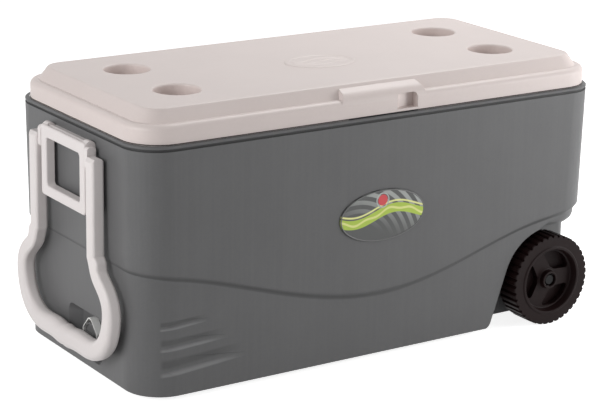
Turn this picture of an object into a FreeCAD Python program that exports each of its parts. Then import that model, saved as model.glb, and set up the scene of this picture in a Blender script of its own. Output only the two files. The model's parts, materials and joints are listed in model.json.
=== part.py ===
import FreeCAD, Part
import math
import os
import re
import Sketcher

# A family-size wheeled cooler. X runs along the box towards the wheels, Y runs towards the
# lid hinges and Z is up, with the floor at z = 0. Everything is drawn about the middle of
# the rim; each finished piece is then shifted so that the whole cooler is centred.

DRIVING = (
    # the box
    ("body_length", 900, "rim bead, end to end"),
    ("body_width", 436, "rim bead, front to back"),
    ("body_height", 407, "underside to the top of the rim"),
    ("ground_gap", 9, "floor to the underside"),
    ("corner_radius", 60, "upright corners at the rim"),
    ("base_corner_radius", 66, "upright corners at the underside"),
    ("end_draft", 5, "how far each end leans in at the base"),
    ("side_draft", 1.5, "how far each long side leans in at the base"),
    ("base_round", 8, "rounding along the bottom edge"),
    ("bead_height", 5.4, "rolled bead along the top edge"),
    ("bead_width", 7, "bead, outside to the liner flange"),
    ("bead_lip", 5, "ledge inside the bead that carries the flange"),
    ("bead_round", 1.6, "rounding of the bead"),
    ("groove_height", 2.8, "shadow groove below the bead"),
    ("groove_depth", 2, "depth of that groove"),
    ("shell_wall", 3.5, "outer shell wall"),
    # the sweeping crease: the wall steps in below it
    ("crease_tow_height", 206, "crease above the underside at the tow end"),
    ("crease_low_height", 112, "crease at its lowest"),
    ("crease_wheel_height", 203, "crease at the wheel end"),
    ("crease_side_step", 4, "step on the long sides"),
    ("crease_wheel_step", 6, "step on the wheel end"),
    ("crease_tow_step", 1, "step on the tow end"),
    # the three tapered scoops low on each long side
    ("scoop_depth", 3.4, "how deep each scoop is"),
    ("scoop_start", 412, "blunt end, from the middle of the box"),
    ("scoop_tip", 5, "height of the narrow end"),
    # liner and insulation
    ("liner_inset", 35, "rim to the outside of the liner"),
    ("liner_corner", 34, "upright corners of the liner"),
    ("liner_draft", 6, "how far the liner leans in at its floor"),
    ("liner_wall", 3, "liner wall"),
    ("flange_thickness", 3, "liner flange"),
    ("floor_insulation", 36, "foam under the liner"),
    ("step_start", 222, "middle of the box to the raised floor"),
    ("step_height", 205, "floor to the top of the raised floor"),
    # wheels
    ("wheel_radius", 80, "over the tread"),
    ("wheel_width", 50, "tread width"),
    ("wheel_x", 355, "middle of the box to the axle"),
    ("wheel_proud", 10, "wheel face beyond the rim"),
    ("well_gap", 13.5, "tread to the wheel arch"),
    ("well_depth", 61, "rim to the inner wall of the arch"),
    ("arch_lean", 18.7, "lean of the front of the arch, degrees"),
    ("arch_foot_round", 16, "corner between the arch and the underside"),
    ("core_corner", 18, "upright corners of the core between the wheels"),
    ("roof_round", 20, "lower edge of the end wall over the wheels, along the box"),
    ("roof_round_side", 9, "that edge on the long sides, across the box"),
    ("roof_round_height", 14, "height over which that edge is rounded"),
    ("roof_round_start", 336, "middle of the box to where that rounding starts"),
    ("roof_fade", 32, "length over which it fades in"),
    ("axle_radius", 6, "steel axle"),
    ("axle_play", 0.3, "axle in its tunnel"),
    ("running_play", 0.05, "radial play of everything that turns"),
    ("rim_radius", 56, "dished part of the wheel"),
    ("rim_lip", 4, "raised lip round the dish"),
    ("side_sunk", 1.6, "tyre side behind that lip"),
    ("dish_depth", 13, "how deep the dish is"),
    ("disc_thickness", 16, "wheel disc"),
    ("tyre_band", 8, "thickness of the tread band"),
    ("hub_radius", 15.5, "wheel hub"),
    ("hub_sunk", 6, "axle cap behind the wheel's outer face"),
    ("hub_face", 3, "hub behind the wheel's outer face"),
    ("hub_clear", 0.6, "washer to the wall of the hub's hollow"),
    ("pocket_radius", 50, "outer edge of the three pockets in the disc"),
    ("pocket_start", 21, "inner edge of those pockets"),
    ("pocket_angle", 44, "half the angle of a pocket, degrees"),
    ("pocket_depth", 12, "how deep a pocket is"),
    ("tread_count", 40, "blocks round the tread"),
    ("tread_depth", 3.5, "depth of the tread grooves"),
    ("tread_groove", 5.2, "width of a tread groove"),
    ("washer_thickness", 1.6, "steel washers"),
    ("washer_radius", 11, "steel washers"),
    ("washer_play", 0.25, "end play of the wheel on each side"),
    ("cap_length", 6, "push-on axle caps"),
    ("cap_radius", 10, "push-on axle caps"),
    # feet under the tow end
    ("foot_length", 84, "moulded feet, along the box"),
    ("foot_width", 46, "moulded feet, across the box"),
    ("foot_x", 345, "middle of the box to the middle of a foot"),
    ("foot_y", 118, "middle of the box to the middle of a foot"),
    # lid
    ("seam", 0.3, "gap between rim and lid"),
    ("lid_end_inset", 4, "lid inside the rim, each end"),
    ("lid_front_inset", 5, "lid inside the rim, front"),
    ("lid_back_inset", 10, "lid inside the rim, back"),
    ("lid_corner", 62, "upright corners of the lid"),
    ("lid_height", 51.3, "seam to the top"),
    ("skirt_height", 31, "straight outer skirt of the lid"),
    ("skirt_round", 9, "rounding of the skirt's top edge"),
    ("shelf_width", 14, "shelf around the raised top"),
    ("top_inset", 29, "skirt to the edge of the raised top"),
    ("top_round", 5, "rounding of that edge"),
    ("lid_wall", 3, "lid wall"),
    ("cup_radius", 38.3, "cup wells"),
    ("cup_depth", 20, "cup wells"),
    ("cup_x", 311, "middle of the box to the cup wells"),
    ("cup_y", 82, "middle of the lid to the cup wells"),
    ("cup_round", 3.5, "softened edge of a cup well"),
    ("pull_start", 24, "middle of the box to the shallow end of the finger recess"),
    ("pull_length", 41, "finger recess, along the lid"),
    ("pull_ramp", 9, "length over which it gets most of its depth"),
    ("pull_depth", 15, "finger recess, front to back"),
    ("pull_lip", 6, "lip under the finger recess"),
    ("pull_height", 25, "finger recess"),
    ("slit_reach", 70, "shade slit under the skirt, to the left of the middle"),
    ("slit_height", 1.6, "shade slit"),
    ("slit_depth", 9, "shade slit"),
    ("brow_half", 84, "half length of the raised brow over the recess"),
    ("brow_lean", 12, "how far each end of the brow leans in"),
    ("plug_depth", 12, "lid liner below the rim"),
    ("plug_gap", 4, "lid liner to the body liner"),
    # lid hinges
    ("hinge_x", 255, "middle of the box to each hinge"),
    ("hinge_half", 30, "half length of a hinge"),
    ("hinge_middle", 13, "half length of the middle knuckle"),
    ("hinge_out", 7, "hinge pin behind the rim"),
    ("hinge_up", 4, "hinge pin above the rim"),
    ("knuckle_radius", 5.2, "hinge knuckles"),
    ("hinge_pin_radius", 2.5, "hinge pin"),
    ("leaf_thickness", 2.6, "hinge leaves"),
    ("leaf_drop", 34, "body leaf below the rim"),
    ("leaf_rise", 22, "lid leaf above the pin"),
    ("knuckle_gap", 0.5, "between knuckles"),
    # lift handles, one at each end
    ("lift_out", 9.6, "end wall to the handle's hinge pin"),
    ("lift_height", 382, "underside to the hinge pin"),
    ("lift_half_width", 75, "half width of a lift handle"),
    ("lift_drop", 111, "hinge pin to the bottom edge"),
    ("lift_bar", 18, "side and bottom bars"),
    ("lift_bar_depth", 15.5, "depth of those bars"),
    ("lift_front", 11.4, "hinge pin to the front face"),
    ("lift_top_rise", 6, "top bar above the pin"),
    ("lift_top_drop", 14, "top bar below the pin"),
    ("lift_top_depth", 4.4, "thickness of the top bar"),
    ("lift_knuckle", 9, "radius of the end knuckles"),
    ("knuckle_width", 14, "width of the end knuckles"),
    ("lift_pin_radius", 4, "hinge pin of a lift handle"),
    ("barrel_radius", 5.6, "barrel of the wall bracket"),
    ("bracket_plate", 3, "plate of the wall bracket"),
    ("bracket_drop", 19, "plate below the pin"),
    ("bracket_rise", 3, "plate above the pin"),
    ("side_play", 0.4, "side play of the hinged handles"),
    ("ear_width", 10, "ears that carry the tow handle"),
    ("ear_drop", 41, "hinge pin to the bottom of an ear"),
    # tow handle
    ("tow_pivot_drop", 23, "tow pivot below the lift pin"),
    ("tow_pivot_out", 5.4, "tow pivot outside the lift pin"),
    ("tow_pin_radius", 3.2, "tow pivot pins"),
    ("arm_width", 25, "tow handle arms, across the box"),
    ("arm_depth", 22, "tow handle arms, front to back"),
    ("arm_chamfer", 5, "chamfers across the top of each arm"),
    ("grip_height", 36, "tow grip, top to bottom"),
    ("grip_depth", 29, "tow grip, front to back"),
    ("loop_half", 148, "middle of the box to the middle of the loop's side"),
    ("flare_top", 197, "underside to where the arms turn outwards"),
    ("flare_bottom", 150, "underside to where they turn down again"),
    ("flare_round", 28, "bend at the top of the flare"),
    ("shoulder_round", 34, "bend at the bottom of the flare"),
    ("loop_round", 68, "bend into the grip"),
    ("grip_middle", 52, "underside to the middle of the grip"),
    # drain
    ("drain_y", -36, "drain, from the middle of the box"),
    ("drain_height", 60, "underside to the drain"),
    ("drain_bore", 9, "radius of the drain bore"),
    ("spigot_wall", 2.4, "wall of the drain spigot"),
    ("spigot_reach", 13, "spigot beyond the recess floor"),
    ("spigot_flange", 19, "radius of the spigot flange"),
    ("nut_radius", 17, "nut inside the liner"),
    ("nut_length", 7, "nut inside the liner"),
    ("gasket_thickness", 2, "drain gasket"),
    ("cap_wall", 2.8, "drain cap"),
    ("drain_cap_radius", 18.5, "drain cap"),
    ("drain_cap_length", 10.5, "drain cap"),
    ("hood_rise", 26, "drain to the peak of the strap over it"),
    ("hood_half", 24, "half width of that strap"),
    ("hood_width", 13, "strap, out from the wall"),
    ("recess_depth", 19, "drain recess"),
    ("recess_front", 84, "drain recess, towards the front"),
    ("recess_back", 38, "drain recess, towards the back"),
    ("recess_low", 12, "underside to the bottom of the recess"),
    ("recess_high", 98, "underside to the top of the recess"),
    ("recess_corner", 16, "corners of the recess"),
    ("recess_slope", 20, "how far its sides and bottom lean in"),
    ("recess_top_slope", 8, "how far its top leans in"),
    # badge
    ("badge_x", -3, "badge, from the middle of the box"),
    ("badge_height", 241, "underside to the middle of the badge"),
    ("badge_half_width", 83, "badge"),
    ("badge_half_height", 43, "badge"),
    ("badge_thickness", 3.2, "badge"),
    ("badge_sunk", 1.6, "badge sunk into the wall"),
    # fasteners
    ("screw_radius", 2, "screw shanks"),
    ("screw_head", 4.2, "screw heads"),
    ("screw_head_height", 1.9, "screw heads"),
    ("screw_play", 0.05, "screw shank in its pilot hole"),
)

DERIVED = (
    ("half_length", "body_length / 2", "middle to the rim's end"),
    ("half_width", "body_width / 2", "middle to the rim's side"),
    ("rim_top", "ground_gap + body_height", "floor to the rim"),
    ("groove_low", "rim_top - bead_height - groove_height", "underside of the groove"),
    ("lid_base", "rim_top + seam", "underside of the lid"),
    ("lid_top", "lid_base + lid_height", "top of the lid"),
    ("lid_half_length", "half_length - lid_end_inset", "lid"),
    ("lid_half_width", "half_width - (lid_front_inset + lid_back_inset) / 2", "lid"),
    ("lid_y", "(lid_front_inset - lid_back_inset) / 2", "middle of the lid"),
    ("wheel_face", "half_width + wheel_proud", "middle to the wheel's outer face"),
    ("well_wall", "half_width - well_depth", "middle to the inner wall of an arch"),
    ("well_roof", "wheel_radius * 2 + well_gap", "floor to the roof of an arch"),
    ("roof_rise", "(well_roof - ground_gap) / body_height", "that height as a share"),
    ("core_end", "half_length - end_draft * (1 - roof_rise) - crease_wheel_step", "end wall there"),
    ("hinge_y", "half_width + hinge_out", "lid hinge pin"),
    ("hinge_z", "rim_top + hinge_up", "lid hinge pin"),
    ("lift_z", "ground_gap + lift_height", "lift handle pin"),
    ("plate_top", "lift_height + bracket_rise", "underside to the top of a bracket plate"),
    ("wall_at_lift", "half_length - end_draft * (1 - plate_top / body_height)", "end wall there"),
    ("lift_x", "wall_at_lift + lift_out", "lift handle pin"),
    ("tow_x", "lift_x + tow_pivot_out", "tow handle pivot"),
    ("tow_z", "lift_z - tow_pivot_drop", "tow handle pivot"),
    ("arm_y", "lift_half_width + ear_width + side_play + arm_width / 2", "middle of an arm"),
    ("liner_floor", "ground_gap + shell_wall + floor_insulation", "underside of the liner"),
    ("drain_z", "ground_gap + drain_height", "drain"),
    ("wall_at_drain", "half_length - end_draft * (1 - drain_height / body_height)", "end wall"),
    ("recess_floor", "wall_at_drain - recess_depth", "floor of the drain recess"),
    ("shift_x", "(tow_x + grip_depth / 2 - lift_x - lift_front) / 2", "centres the cooler"),
    ("shift_y", "(wheel_face - hinge_y - knuckle_radius) / 2", "centres the cooler"),
)

# The crease as (place along the half length, height as a share of that end's rise).
CREASE = ((-1.06, 1.02), (-0.75, 0.80), (-0.36, 0.25), (0.04, 0.0),
          (0.40, 0.355), (0.67, 0.73), (0.86, 0.87), (1.06, 1.0))

# Each scoop: low edge at the blunt end, high edge there, low edge at the tip, and its length.
SCOOPS = ((110, 125, 116, 88), (75, 96, 82, 124), (33, 62, 46, 160))
SCOOP_LIP = 0.32   # how far up a scoop is deepest, as a share of its height

SHEET = "Dims"
FAR = 40          # how far cutting shapes reach past the surface that they cut
LOOP_STEPS = 16   # sections along half of the tow handle
BASE_TURNS = (0, 30, 60, 90)   # steps of the rounding along the bottom edge, in degrees
doc = FreeCAD.newDocument("cooler")
sheet = doc.addObject("Spreadsheet::Sheet", SHEET)
workings = doc.addObject("Spreadsheet::Sheet", "Workings")
published = []


# ---- sheet and expressions ------------------------------------------------------------

def fill_sheet():
    for row, (alias, value, note) in enumerate(DRIVING + DERIVED, 1):
        sheet.set(f"A{row}", note)
        sheet.set(f"B{row}", f"={value}" if isinstance(value, str) else str(value))
        sheet.setAlias(f"B{row}", alias)
    doc.recompute()


def amount(formula):
    """The number that a formula of sheet names comes to, worked out in a working cell."""
    if not isinstance(formula, str):
        return float(formula)
    workings.set("A1", "=" + named(formula))
    workings.recompute()
    return float(workings.get("A1"))


def named(formula):
    """A formula with the sheet's name before each of its words."""
    return re.sub(r"([a-z]\w*)", SHEET + r".\1", str(formula))


def bind(item, prop, formula):
    """Tie a property to the sheet, so that it follows the driving dimensions."""
    item.setExpression(prop, named(formula))


# ---- sketches and features ------------------------------------------------------------

def vector(x, y, z=0.0):
    return FreeCAD.Vector(x, y, z)


def new_body(name):
    return doc.addObject("PartDesign::Body", name)


def new_sketch(body, name, plane, at=("0", "0", "0")):
    """A sketch on one of the body's own origin planes, moved by three formulas."""
    sketch = body.newObject("Sketcher::SketchObject", name)
    origin_plane = next(f for f in body.Origin.OriginFeatures if f.Role == plane)
    sketch.AttachmentSupport = (origin_plane, [""])
    sketch.MapMode = "FlatFace"
    for axis, formula in zip("xyz", at):
        if formula != "0":
            bind(sketch, f"AttachmentOffset.Base.{axis}", formula)
    return sketch


def draw_rectangle(sketch, half_x, half_y, corner):
    """A rectangle about the sketch's origin, with round corners, tied to formulas."""
    w, d, r = amount(half_x), amount(half_y), amount(corner)
    quarter = math.pi / 2
    runs = (((-w + r, -d), (w - r, -d)), ((w, -d + r), (w, d - r)),
            ((w - r, d), (-w + r, d)), ((-w, d - r), (-w, -d + r)))
    for start, end in runs:
        sketch.addGeometry(Part.LineSegment(vector(*start), vector(*end)))
    for turn, (sx, sy) in enumerate(((1, -1), (1, 1), (-1, 1), (-1, -1))):
        circle = Part.Circle(vector(sx * (w - r), sy * (d - r)), vector(0, 0, 1), r)
        sketch.addGeometry(Part.ArcOfCircle(circle, (turn - 1) * quarter, turn * quarter))
    for side in range(4):
        arc = 4 + side
        sketch.addConstraint(Sketcher.Constraint("Tangent", side, 2, arc, 1))
        sketch.addConstraint(Sketcher.Constraint("Tangent", arc, 2, (side + 1) % 4, 1))
        sketch.addConstraint(Sketcher.Constraint(("Horizontal", "Vertical")[side % 2], side))
    for arc in (5, 6, 7):
        sketch.addConstraint(Sketcher.Constraint("Equal", 4, arc))
    for label, rule, formula in (
            ("corner", ("Radius", 4, r), corner),
            ("right", ("DistanceX", -1, 1, 1, 1, w), half_x),
            ("left", ("DistanceX", 3, 1, -1, 1, w), half_x),
            ("front", ("DistanceY", 0, 1, -1, 1, d), half_y),
            ("back", ("DistanceY", -1, 1, 2, 1, d), half_y)):
        index = sketch.addConstraint(Sketcher.Constraint(*rule))
        sketch.renameConstraint(index, label)
        bind(sketch, f"Constraints.{label}", formula)


def round_corner(before, corner, after, radius):
    """Where a round of the given radius leaves one straight side and joins the next."""
    back, ahead = before - corner, after - corner
    half = back.getAngle(ahead) / 2
    reach = radius / math.tan(half)
    start = corner + back.normalize() * reach
    end = corner + ahead.normalize() * reach
    middle = back + ahead
    middle.normalize()
    return start, corner + middle * (radius / math.sin(half) - radius), end


def outline(corners):
    """Edges of a closed outline of straight sides: each corner is (x, y) or (x, y, radius)."""
    points = [vector(c[0], c[1]) for c in corners]
    edges, first, last = [], None, None
    for i, corner in enumerate(corners):
        before, here, after = points[i - 1], points[i], points[(i + 1) % len(points)]
        if len(corner) > 2 and corner[2] > 0:
            start, middle, end = round_corner(before, here, after, corner[2])
            arc = Part.Arc(start, middle, end)
        else:
            start, end, arc = here, here, None
        if last is not None and (start - last).Length > 1e-6:
            edges.append(Part.LineSegment(last, start))
        if arc is not None:
            edges.append(arc)
        first = start if first is None else first
        last = end
    if (first - last).Length > 1e-6:
        edges.append(Part.LineSegment(last, first))
    return edges


def draw(sketch, edges):
    for edge in edges:
        sketch.addGeometry(edge)


def lengthen(feature, length, both_ways):
    bind(feature, "Length", length)
    if both_ways:
        feature.SideType = "Symmetric"


def pad(body, sketch, length, both_ways=False, backwards=False):
    feature = body.newObject("PartDesign::Pad", sketch.Name + "_pad")
    feature.Profile = sketch
    feature.Reversed = backwards
    lengthen(feature, length, both_ways)
    return feature


def pocket(body, sketch, length, both_ways=False, backwards=False):
    feature = body.newObject("PartDesign::Pocket", sketch.Name + "_pocket")
    feature.Profile = sketch
    feature.Reversed = backwards
    lengthen(feature, length, both_ways)
    return feature


def loft(body, sketches, cut=False):
    kind = "PartDesign::SubtractiveLoft" if cut else "PartDesign::AdditiveLoft"
    feature = body.newObject(kind, sketches[0].Name + "_loft")
    feature.Profile = sketches[0]
    feature.Sections = sketches[1:]
    feature.Ruled = True
    return feature


def revolve(body, sketch, cut=False):
    """Turn a profile about the sketch's upright axis."""
    kind = "PartDesign::Groove" if cut else "PartDesign::Revolution"
    feature = body.newObject(kind, sketch.Name + "_turn")
    feature.Profile = sketch
    feature.ReferenceAxis = (sketch, ["V_Axis"])
    feature.Angle = 360
    return feature


def spread(body, feature, count, axis):
    """Repeat a feature evenly about one of the body's own axes."""
    pattern = body.newObject("PartDesign::PolarPattern", feature.Name + "_pattern")
    pattern.Originals = [feature]
    origin_axis = next(f for f in body.Origin.OriginFeatures if f.Role == axis)
    pattern.Axis = (origin_axis, [""])
    pattern.Angle = 360
    bind(pattern, "Occurrences", count)
    body.Tip = pattern
    return pattern


def round_edges(body, radius, wanted):
    """Fillet the edges of the body so far that pass a test."""
    doc.recompute()
    base = body.Tip
    names = [f"Edge{i}" for i, edge in enumerate(base.Shape.Edges, 1) if wanted(edge)]
    feature = body.newObject("PartDesign::Fillet", base.Name + "_round")
    feature.Base = (base, names)
    bind(feature, "Radius", radius)
    return feature


def level(z):
    """Test for edges that lie flat at one height."""
    height = amount(z)
    return lambda edge: (abs(edge.BoundBox.ZMin - height) < 0.01
                         and abs(edge.BoundBox.ZMax - height) < 0.01)


def profile_body(name, plane, edges, length, at=("0", "0", "0"), both_ways=False,
                 backwards=False):
    """A body that is one drawn profile carried along its plane's normal."""
    body = new_body(name)
    sketch = new_sketch(body, name + "_profile", plane, at)
    draw(sketch, edges)
    pad(body, sketch, length, both_ways, backwards)
    return body


# ---- booleans, primitives and publishing ----------------------------------------------

def cut(name, base, *tools):
    """The base without the tools, taken off one after another."""
    for number, tool in enumerate(tools, 1):
        label = name if number == len(tools) else f"{name}_{number}"
        result = doc.addObject("Part::Cut", label)
        result.Base, result.Tool = base, tool
        base = result
    return base


def fuse(name, *pieces):
    result = doc.addObject("Part::MultiFuse", name)
    result.Shapes = list(pieces)
    return result


def place(item, x, y, z):
    for axis, formula in zip("xyz", (x, y, z)):
        bind(item, f"Placement.Base.{axis}", formula)


def rod(name, radius, length, axis, x, y, z):
    """A cylinder that starts at a point and runs along +X, +Y or +Z."""
    item = doc.addObject("Part::Cylinder", name)
    bind(item, "Radius", radius)
    bind(item, "Height", length)
    turn = {"x": (vector(0, 1, 0), 90), "y": (vector(1, 0, 0), -90), "z": (vector(0, 0, 1), 0)}
    item.Placement = FreeCAD.Placement(vector(0, 0), FreeCAD.Rotation(*turn[axis]))
    place(item, x, y, z)
    return item


def block(name, x, y, z, length, width, height):
    item = doc.addObject("Part::Box", name)
    for prop, formula in (("Length", length), ("Width", width), ("Height", height)):
        bind(item, prop, formula)
    place(item, x, y, z)
    return item


def publish(item, node, x="0", y="0", z="0"):
    """Name a finished piece, move it into the cooler's centred frame and keep it."""
    item.Label = node
    place(item, f"shift_x + {x}", f"shift_y + {y}", z)
    published.append(item)
    return item


def publish_shape(node, shape):
    """A piece whose form was made directly, with the cooler's shift as its place."""
    item = doc.addObject("Part::Feature", node)
    item.Shape = shape
    shift = FreeCAD.Placement(vector(amount("shift_x"), amount("shift_y")), FreeCAD.Rotation())
    item.Placement = shift.multiply(shape.Placement)
    item.Label = node
    published.append(item)
    return item


def turned(profile, axis_point, direction):
    """A solid turned from (radius, height) points, standing on a point along a direction."""
    points = [vector(r, 0, h) for r, h in profile]
    face = Part.Face(Part.makePolygon(points + points[:1]))
    solid = face.revolve(vector(0, 0, 0), vector(0, 0, 1), 360)
    lean = FreeCAD.Rotation(vector(0, 0, 1), direction)
    solid.Placement = FreeCAD.Placement(axis_point, lean)
    return solid


# ---- the box --------------------------------------------------------------------------

def wall_form(name, low, high, inset_side, inset_wheel, inset_tow, corner_less="0",
              base_round=None):
    """The box's outer form between two heights, drawn in from the rim by an inset on each
    long side and on each end. It follows the draft of the walls. The bottom edge can be
    drawn in over a few narrow bands: base_round is its height, its width on the sides and
    its width on the ends."""
    body = new_body(name)
    levels = [("low", low, "0", "0"), ("high", high, "0", "0")]
    if base_round:
        tall, side, end = base_round
        shares = [(turn, math.radians(turn)) for turn in BASE_TURNS]
        bands = [(f"band{turn}", f"{low} + {tall} * {1 - math.cos(a):.4f}",
                  f"{side} * {1 - math.sin(a):.4f}", f"{end} * {1 - math.sin(a):.4f}")
                 for turn, a in shares]
        levels = bands + levels[1:]
    sections = []
    for tag, height, side_less, end_less in levels:
        rise = f"(1 - ({height} - ground_gap) / body_height)"
        middle = f"(({inset_tow}) - ({inset_wheel})) / 2"
        sketch = new_sketch(body, f"{name}_{tag}", "XY_Plane", (middle, "0", height))
        ends = f"(({inset_wheel}) + ({inset_tow})) / 2"
        draw_rectangle(sketch,
                       f"half_length - end_draft * {rise} - {ends} - ({end_less})",
                       f"half_width - side_draft * {rise} - ({inset_side}) - ({side_less})",
                       f"corner_radius + (base_corner_radius - corner_radius) * {rise}"
                       f" - ({corner_less}) - ({side_less})")
        sections.append(sketch)
    loft(body, sections)
    return body


def ring_sketch(body, tag, height, inset):
    """The rim's plan, drawn in by an inset."""
    sketch = new_sketch(body, tag, "XY_Plane", ("0", "0", height))
    draw_rectangle(sketch, f"half_length - ({inset})", f"half_width - ({inset})",
                   f"corner_radius - ({inset})")
    return sketch


def ring_pad(body, tag, low, high, inset):
    """A flat layer of the rim, drawn in by an inset."""
    return pad(body, ring_sketch(body, tag, low, inset), f"({high}) - ({low})")


def crease_curve():
    """The crease as one smooth curve along the box."""
    half, low = amount("half_length"), amount("ground_gap + crease_low_height")
    points = []
    for along, share in CREASE:
        end = amount("crease_tow_height" if along < 0 else "crease_wheel_height")
        rise = end - amount("crease_low_height")
        points.append(vector(along * half, low + share * rise))
    curve = Part.BSplineCurve()
    curve.interpolate(points)
    return curve, points[0], points[-1]


def crease_band():
    """The thin skin below the crease that the wall steps in by."""
    curve, left, right = crease_curve()
    under = -amount("ground_gap")
    low_left, low_right = vector(left.x, under), vector(right.x, under)
    edges = [curve, Part.LineSegment(right, low_right), Part.LineSegment(low_right, low_left),
             Part.LineSegment(low_left, left)]
    below = profile_body("below_crease", "XZ_Plane", edges, f"body_width + {FAR}", both_ways=True)
    core = wall_form("stepped_in_form", "0 - ground_gap", "ground_gap + crease_tow_height + 20",
                     "crease_side_step", "crease_wheel_step", "crease_tow_step")
    return cut("crease_band", below, core)


def scoops():
    """Three leaf-shaped scoops low on both long sides, near the tow end: each is deepest
    a little above its lower edge. From there its floor slopes out steeply to that edge,
    gently to the upper edge, and to nothing at the tip."""
    start = amount("scoop_start")
    base = amount("ground_gap")
    tip, deep = amount("scoop_tip"), amount("scoop_depth")
    hollows = []
    for number, (low, high, tip_low, length) in enumerate(SCOOPS, 1):
        blunt = (high - low) * 0.4
        corners = [(-start, base + low, blunt), (-start + length, base + tip_low, tip * 0.3),
                   (-start + length, base + tip_low + tip, tip * 0.5),
                   (-start + length * 0.35, base + high + 1, 40), (-start, base + high, blunt)]
        bar = profile_body(f"scoop_{number}", "XZ_Plane", outline(corners),
                           f"body_width + {FAR}", both_ways=True)
        lean = f"side_draft * (1 - {high} / body_height)"
        wall = amount(f"half_width - crease_side_step - {lean}") + 0.1
        tall, lip = high - low, (high - low) * SCOOP_LIP
        slope = [(-wall, -FAR), (wall, -FAR), (wall, 0), (wall - deep, lip), (wall, tall),
                 (wall, tall + FAR), (-wall, tall + FAR), (-wall, tall), (deep - wall, lip),
                 (-wall, 0)]
        floor = profile_body(f"scoop_floor_{number}", "YZ_Plane", outline(slope),
                             "body_length", both_ways=True)
        climb = math.degrees(math.atan2(tip_low - low, length))
        floor.Placement = FreeCAD.Placement(vector(-start, 0, base + low),
                                            FreeCAD.Rotation(vector(0, 1), -climb))
        middle, tip_end = -start + length * 0.35, -start + length
        fade = [(-start - FAR, deep - wall), (middle, deep - wall), (tip_end, -wall),
                (tip_end + FAR, -wall), (tip_end + FAR, wall), (tip_end, wall),
                (middle, wall - deep), (-start - FAR, wall - deep)]
        ramp = profile_body(f"scoop_ramp_{number}", "XY_Plane", outline(fade),
                            f"ground_gap + {high} + {FAR}")
        hollows.append(cut(f"scoop_hollow_{number}", bar, floor, ramp))
    return hollows


def scoop_walls():
    """The room that the wall takes behind the scoops."""
    highest = max(high for low, high, tip_low, length in SCOOPS)
    longest = max(length for low, high, tip_low, length in SCOOPS)
    thick = "(crease_side_step + side_draft + scoop_depth + shell_wall)"
    return [block(f"scoop_wall_{tag}", "0 - half_length", y, "0",
                  f"half_length - scoop_start + {longest} + shell_wall", thick,
                  f"ground_gap + {highest} + shell_wall")
            for tag, y in (("front", "0 - half_width"), ("back", f"half_width - {thick}"))]


def arch_prism(name, grow):
    """The wheel arch's outline through the whole box: a leaning front, a round over the
    wheel and a flat roof that runs out of the wheel end. grow moves it outwards."""
    radius = amount("wheel_radius + well_gap") + grow
    lean = math.radians(amount("arch_lean"))
    x, z = amount("wheel_x"), amount("wheel_radius")
    touch = vector(x - radius * math.cos(lean), z + radius * math.sin(lean))
    turn = (math.pi / 2 + math.pi - lean) / 2
    middle = vector(x + radius * math.cos(turn), z + radius * math.sin(turn))
    roof = vector(x, z + radius)
    base = amount("ground_gap")
    corner = vector(touch.x - (touch.y - base) * math.tan(lean), base)
    leave, bend, land = round_corner(touch, corner, corner - vector(FAR, 0),
                                     amount("arch_foot_round"))
    out = amount("half_length") + FAR
    under = vector(land.x, -FAR)
    edges = [Part.LineSegment(under, land), Part.Arc(land, bend, leave),
             Part.LineSegment(leave, touch), Part.Arc(touch, middle, roof),
             Part.LineSegment(roof, vector(out, roof.y)),
             Part.LineSegment(vector(out, roof.y), vector(out, -FAR)),
             Part.LineSegment(vector(out, -FAR), under)]
    return profile_body(name, "XZ_Plane", edges, f"body_width + {FAR}", both_ways=True)


def wheel_wells(name, grow):
    """Both wheel arches, one on each side of the core that carries the axle."""
    core = core_block(name + "_core", grow)
    return cut(name, arch_prism(name + "_outline", amount(grow)), core)


def core_block(name, less):
    """The core between the wheels, with round upright corners at its end."""
    core = new_body(name)
    sketch = new_sketch(core, name + "_plan", "XY_Plane", ("0", "0", f"0 - {2 * FAR}"))
    draw_rectangle(sketch, f"core_end - ({less})", f"well_wall - ({less})",
                   f"core_corner - ({less})")
    pad(core, sketch, f"rim_top + {2 * FAR}")
    return core


def drain_recess(name, grow):
    """The hollow low in the tow end wall that holds the drain: a flat floor with sides and
    a bottom that slope out to the wall. grow moves it outwards."""
    body = new_body(name)
    middle = "(recess_back - recess_front) / 2"
    sections = []
    for tag, depth, slope, top in (("floor", f"0 - recess_floor + ({grow})", "recess_slope",
                                    "recess_top_slope"),
                                   ("mouth", "0 - wall_at_drain - 4", "0", "0")):
        low = f"ground_gap + recess_low + {slope} - ({grow})"
        high = f"ground_gap + recess_high - {top} + ({grow})"
        sketch = new_sketch(body, f"{name}_{tag}", "YZ_Plane",
                            (middle, f"({low} + {high}) / 2", depth))
        draw_rectangle(sketch, f"(recess_front + recess_back) / 2 - {slope} + ({grow})",
                       f"({high} - ({low})) / 2", f"recess_corner - {slope} / 4")
        sections.append(sketch)
    loft(body, sections)
    return body


def liner_form(name, inset):
    """The liner's outside, or with an inset its inside: a tub whose floor is raised over
    the wheels."""
    body = new_body(name)
    sections = []
    for tag, height, lean in (("floor", f"liner_floor + ({inset})", "liner_draft"),
                              ("mouth", "rim_top + 1", "0")):
        sketch = new_sketch(body, f"{name}_{tag}", "XY_Plane", ("0", "0", height))
        draw_rectangle(sketch, f"half_length - liner_inset - {lean} - ({inset})",
                       f"half_width - liner_inset - {lean} - ({inset})",
                       f"liner_corner - ({inset})")
        sections.append(sketch)
    loft(body, sections)
    sketch = new_sketch(body, name + "_step", "XZ_Plane")
    edge = amount(f"step_start - ({inset})")
    top = amount(f"step_height + ({inset})")
    far = amount("half_length")
    draw(sketch, outline([(edge, -FAR), (far, -FAR), (far, top), (edge, top, 12)]))
    pocket(body, sketch, "body_width", both_ways=True)
    return body


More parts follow.
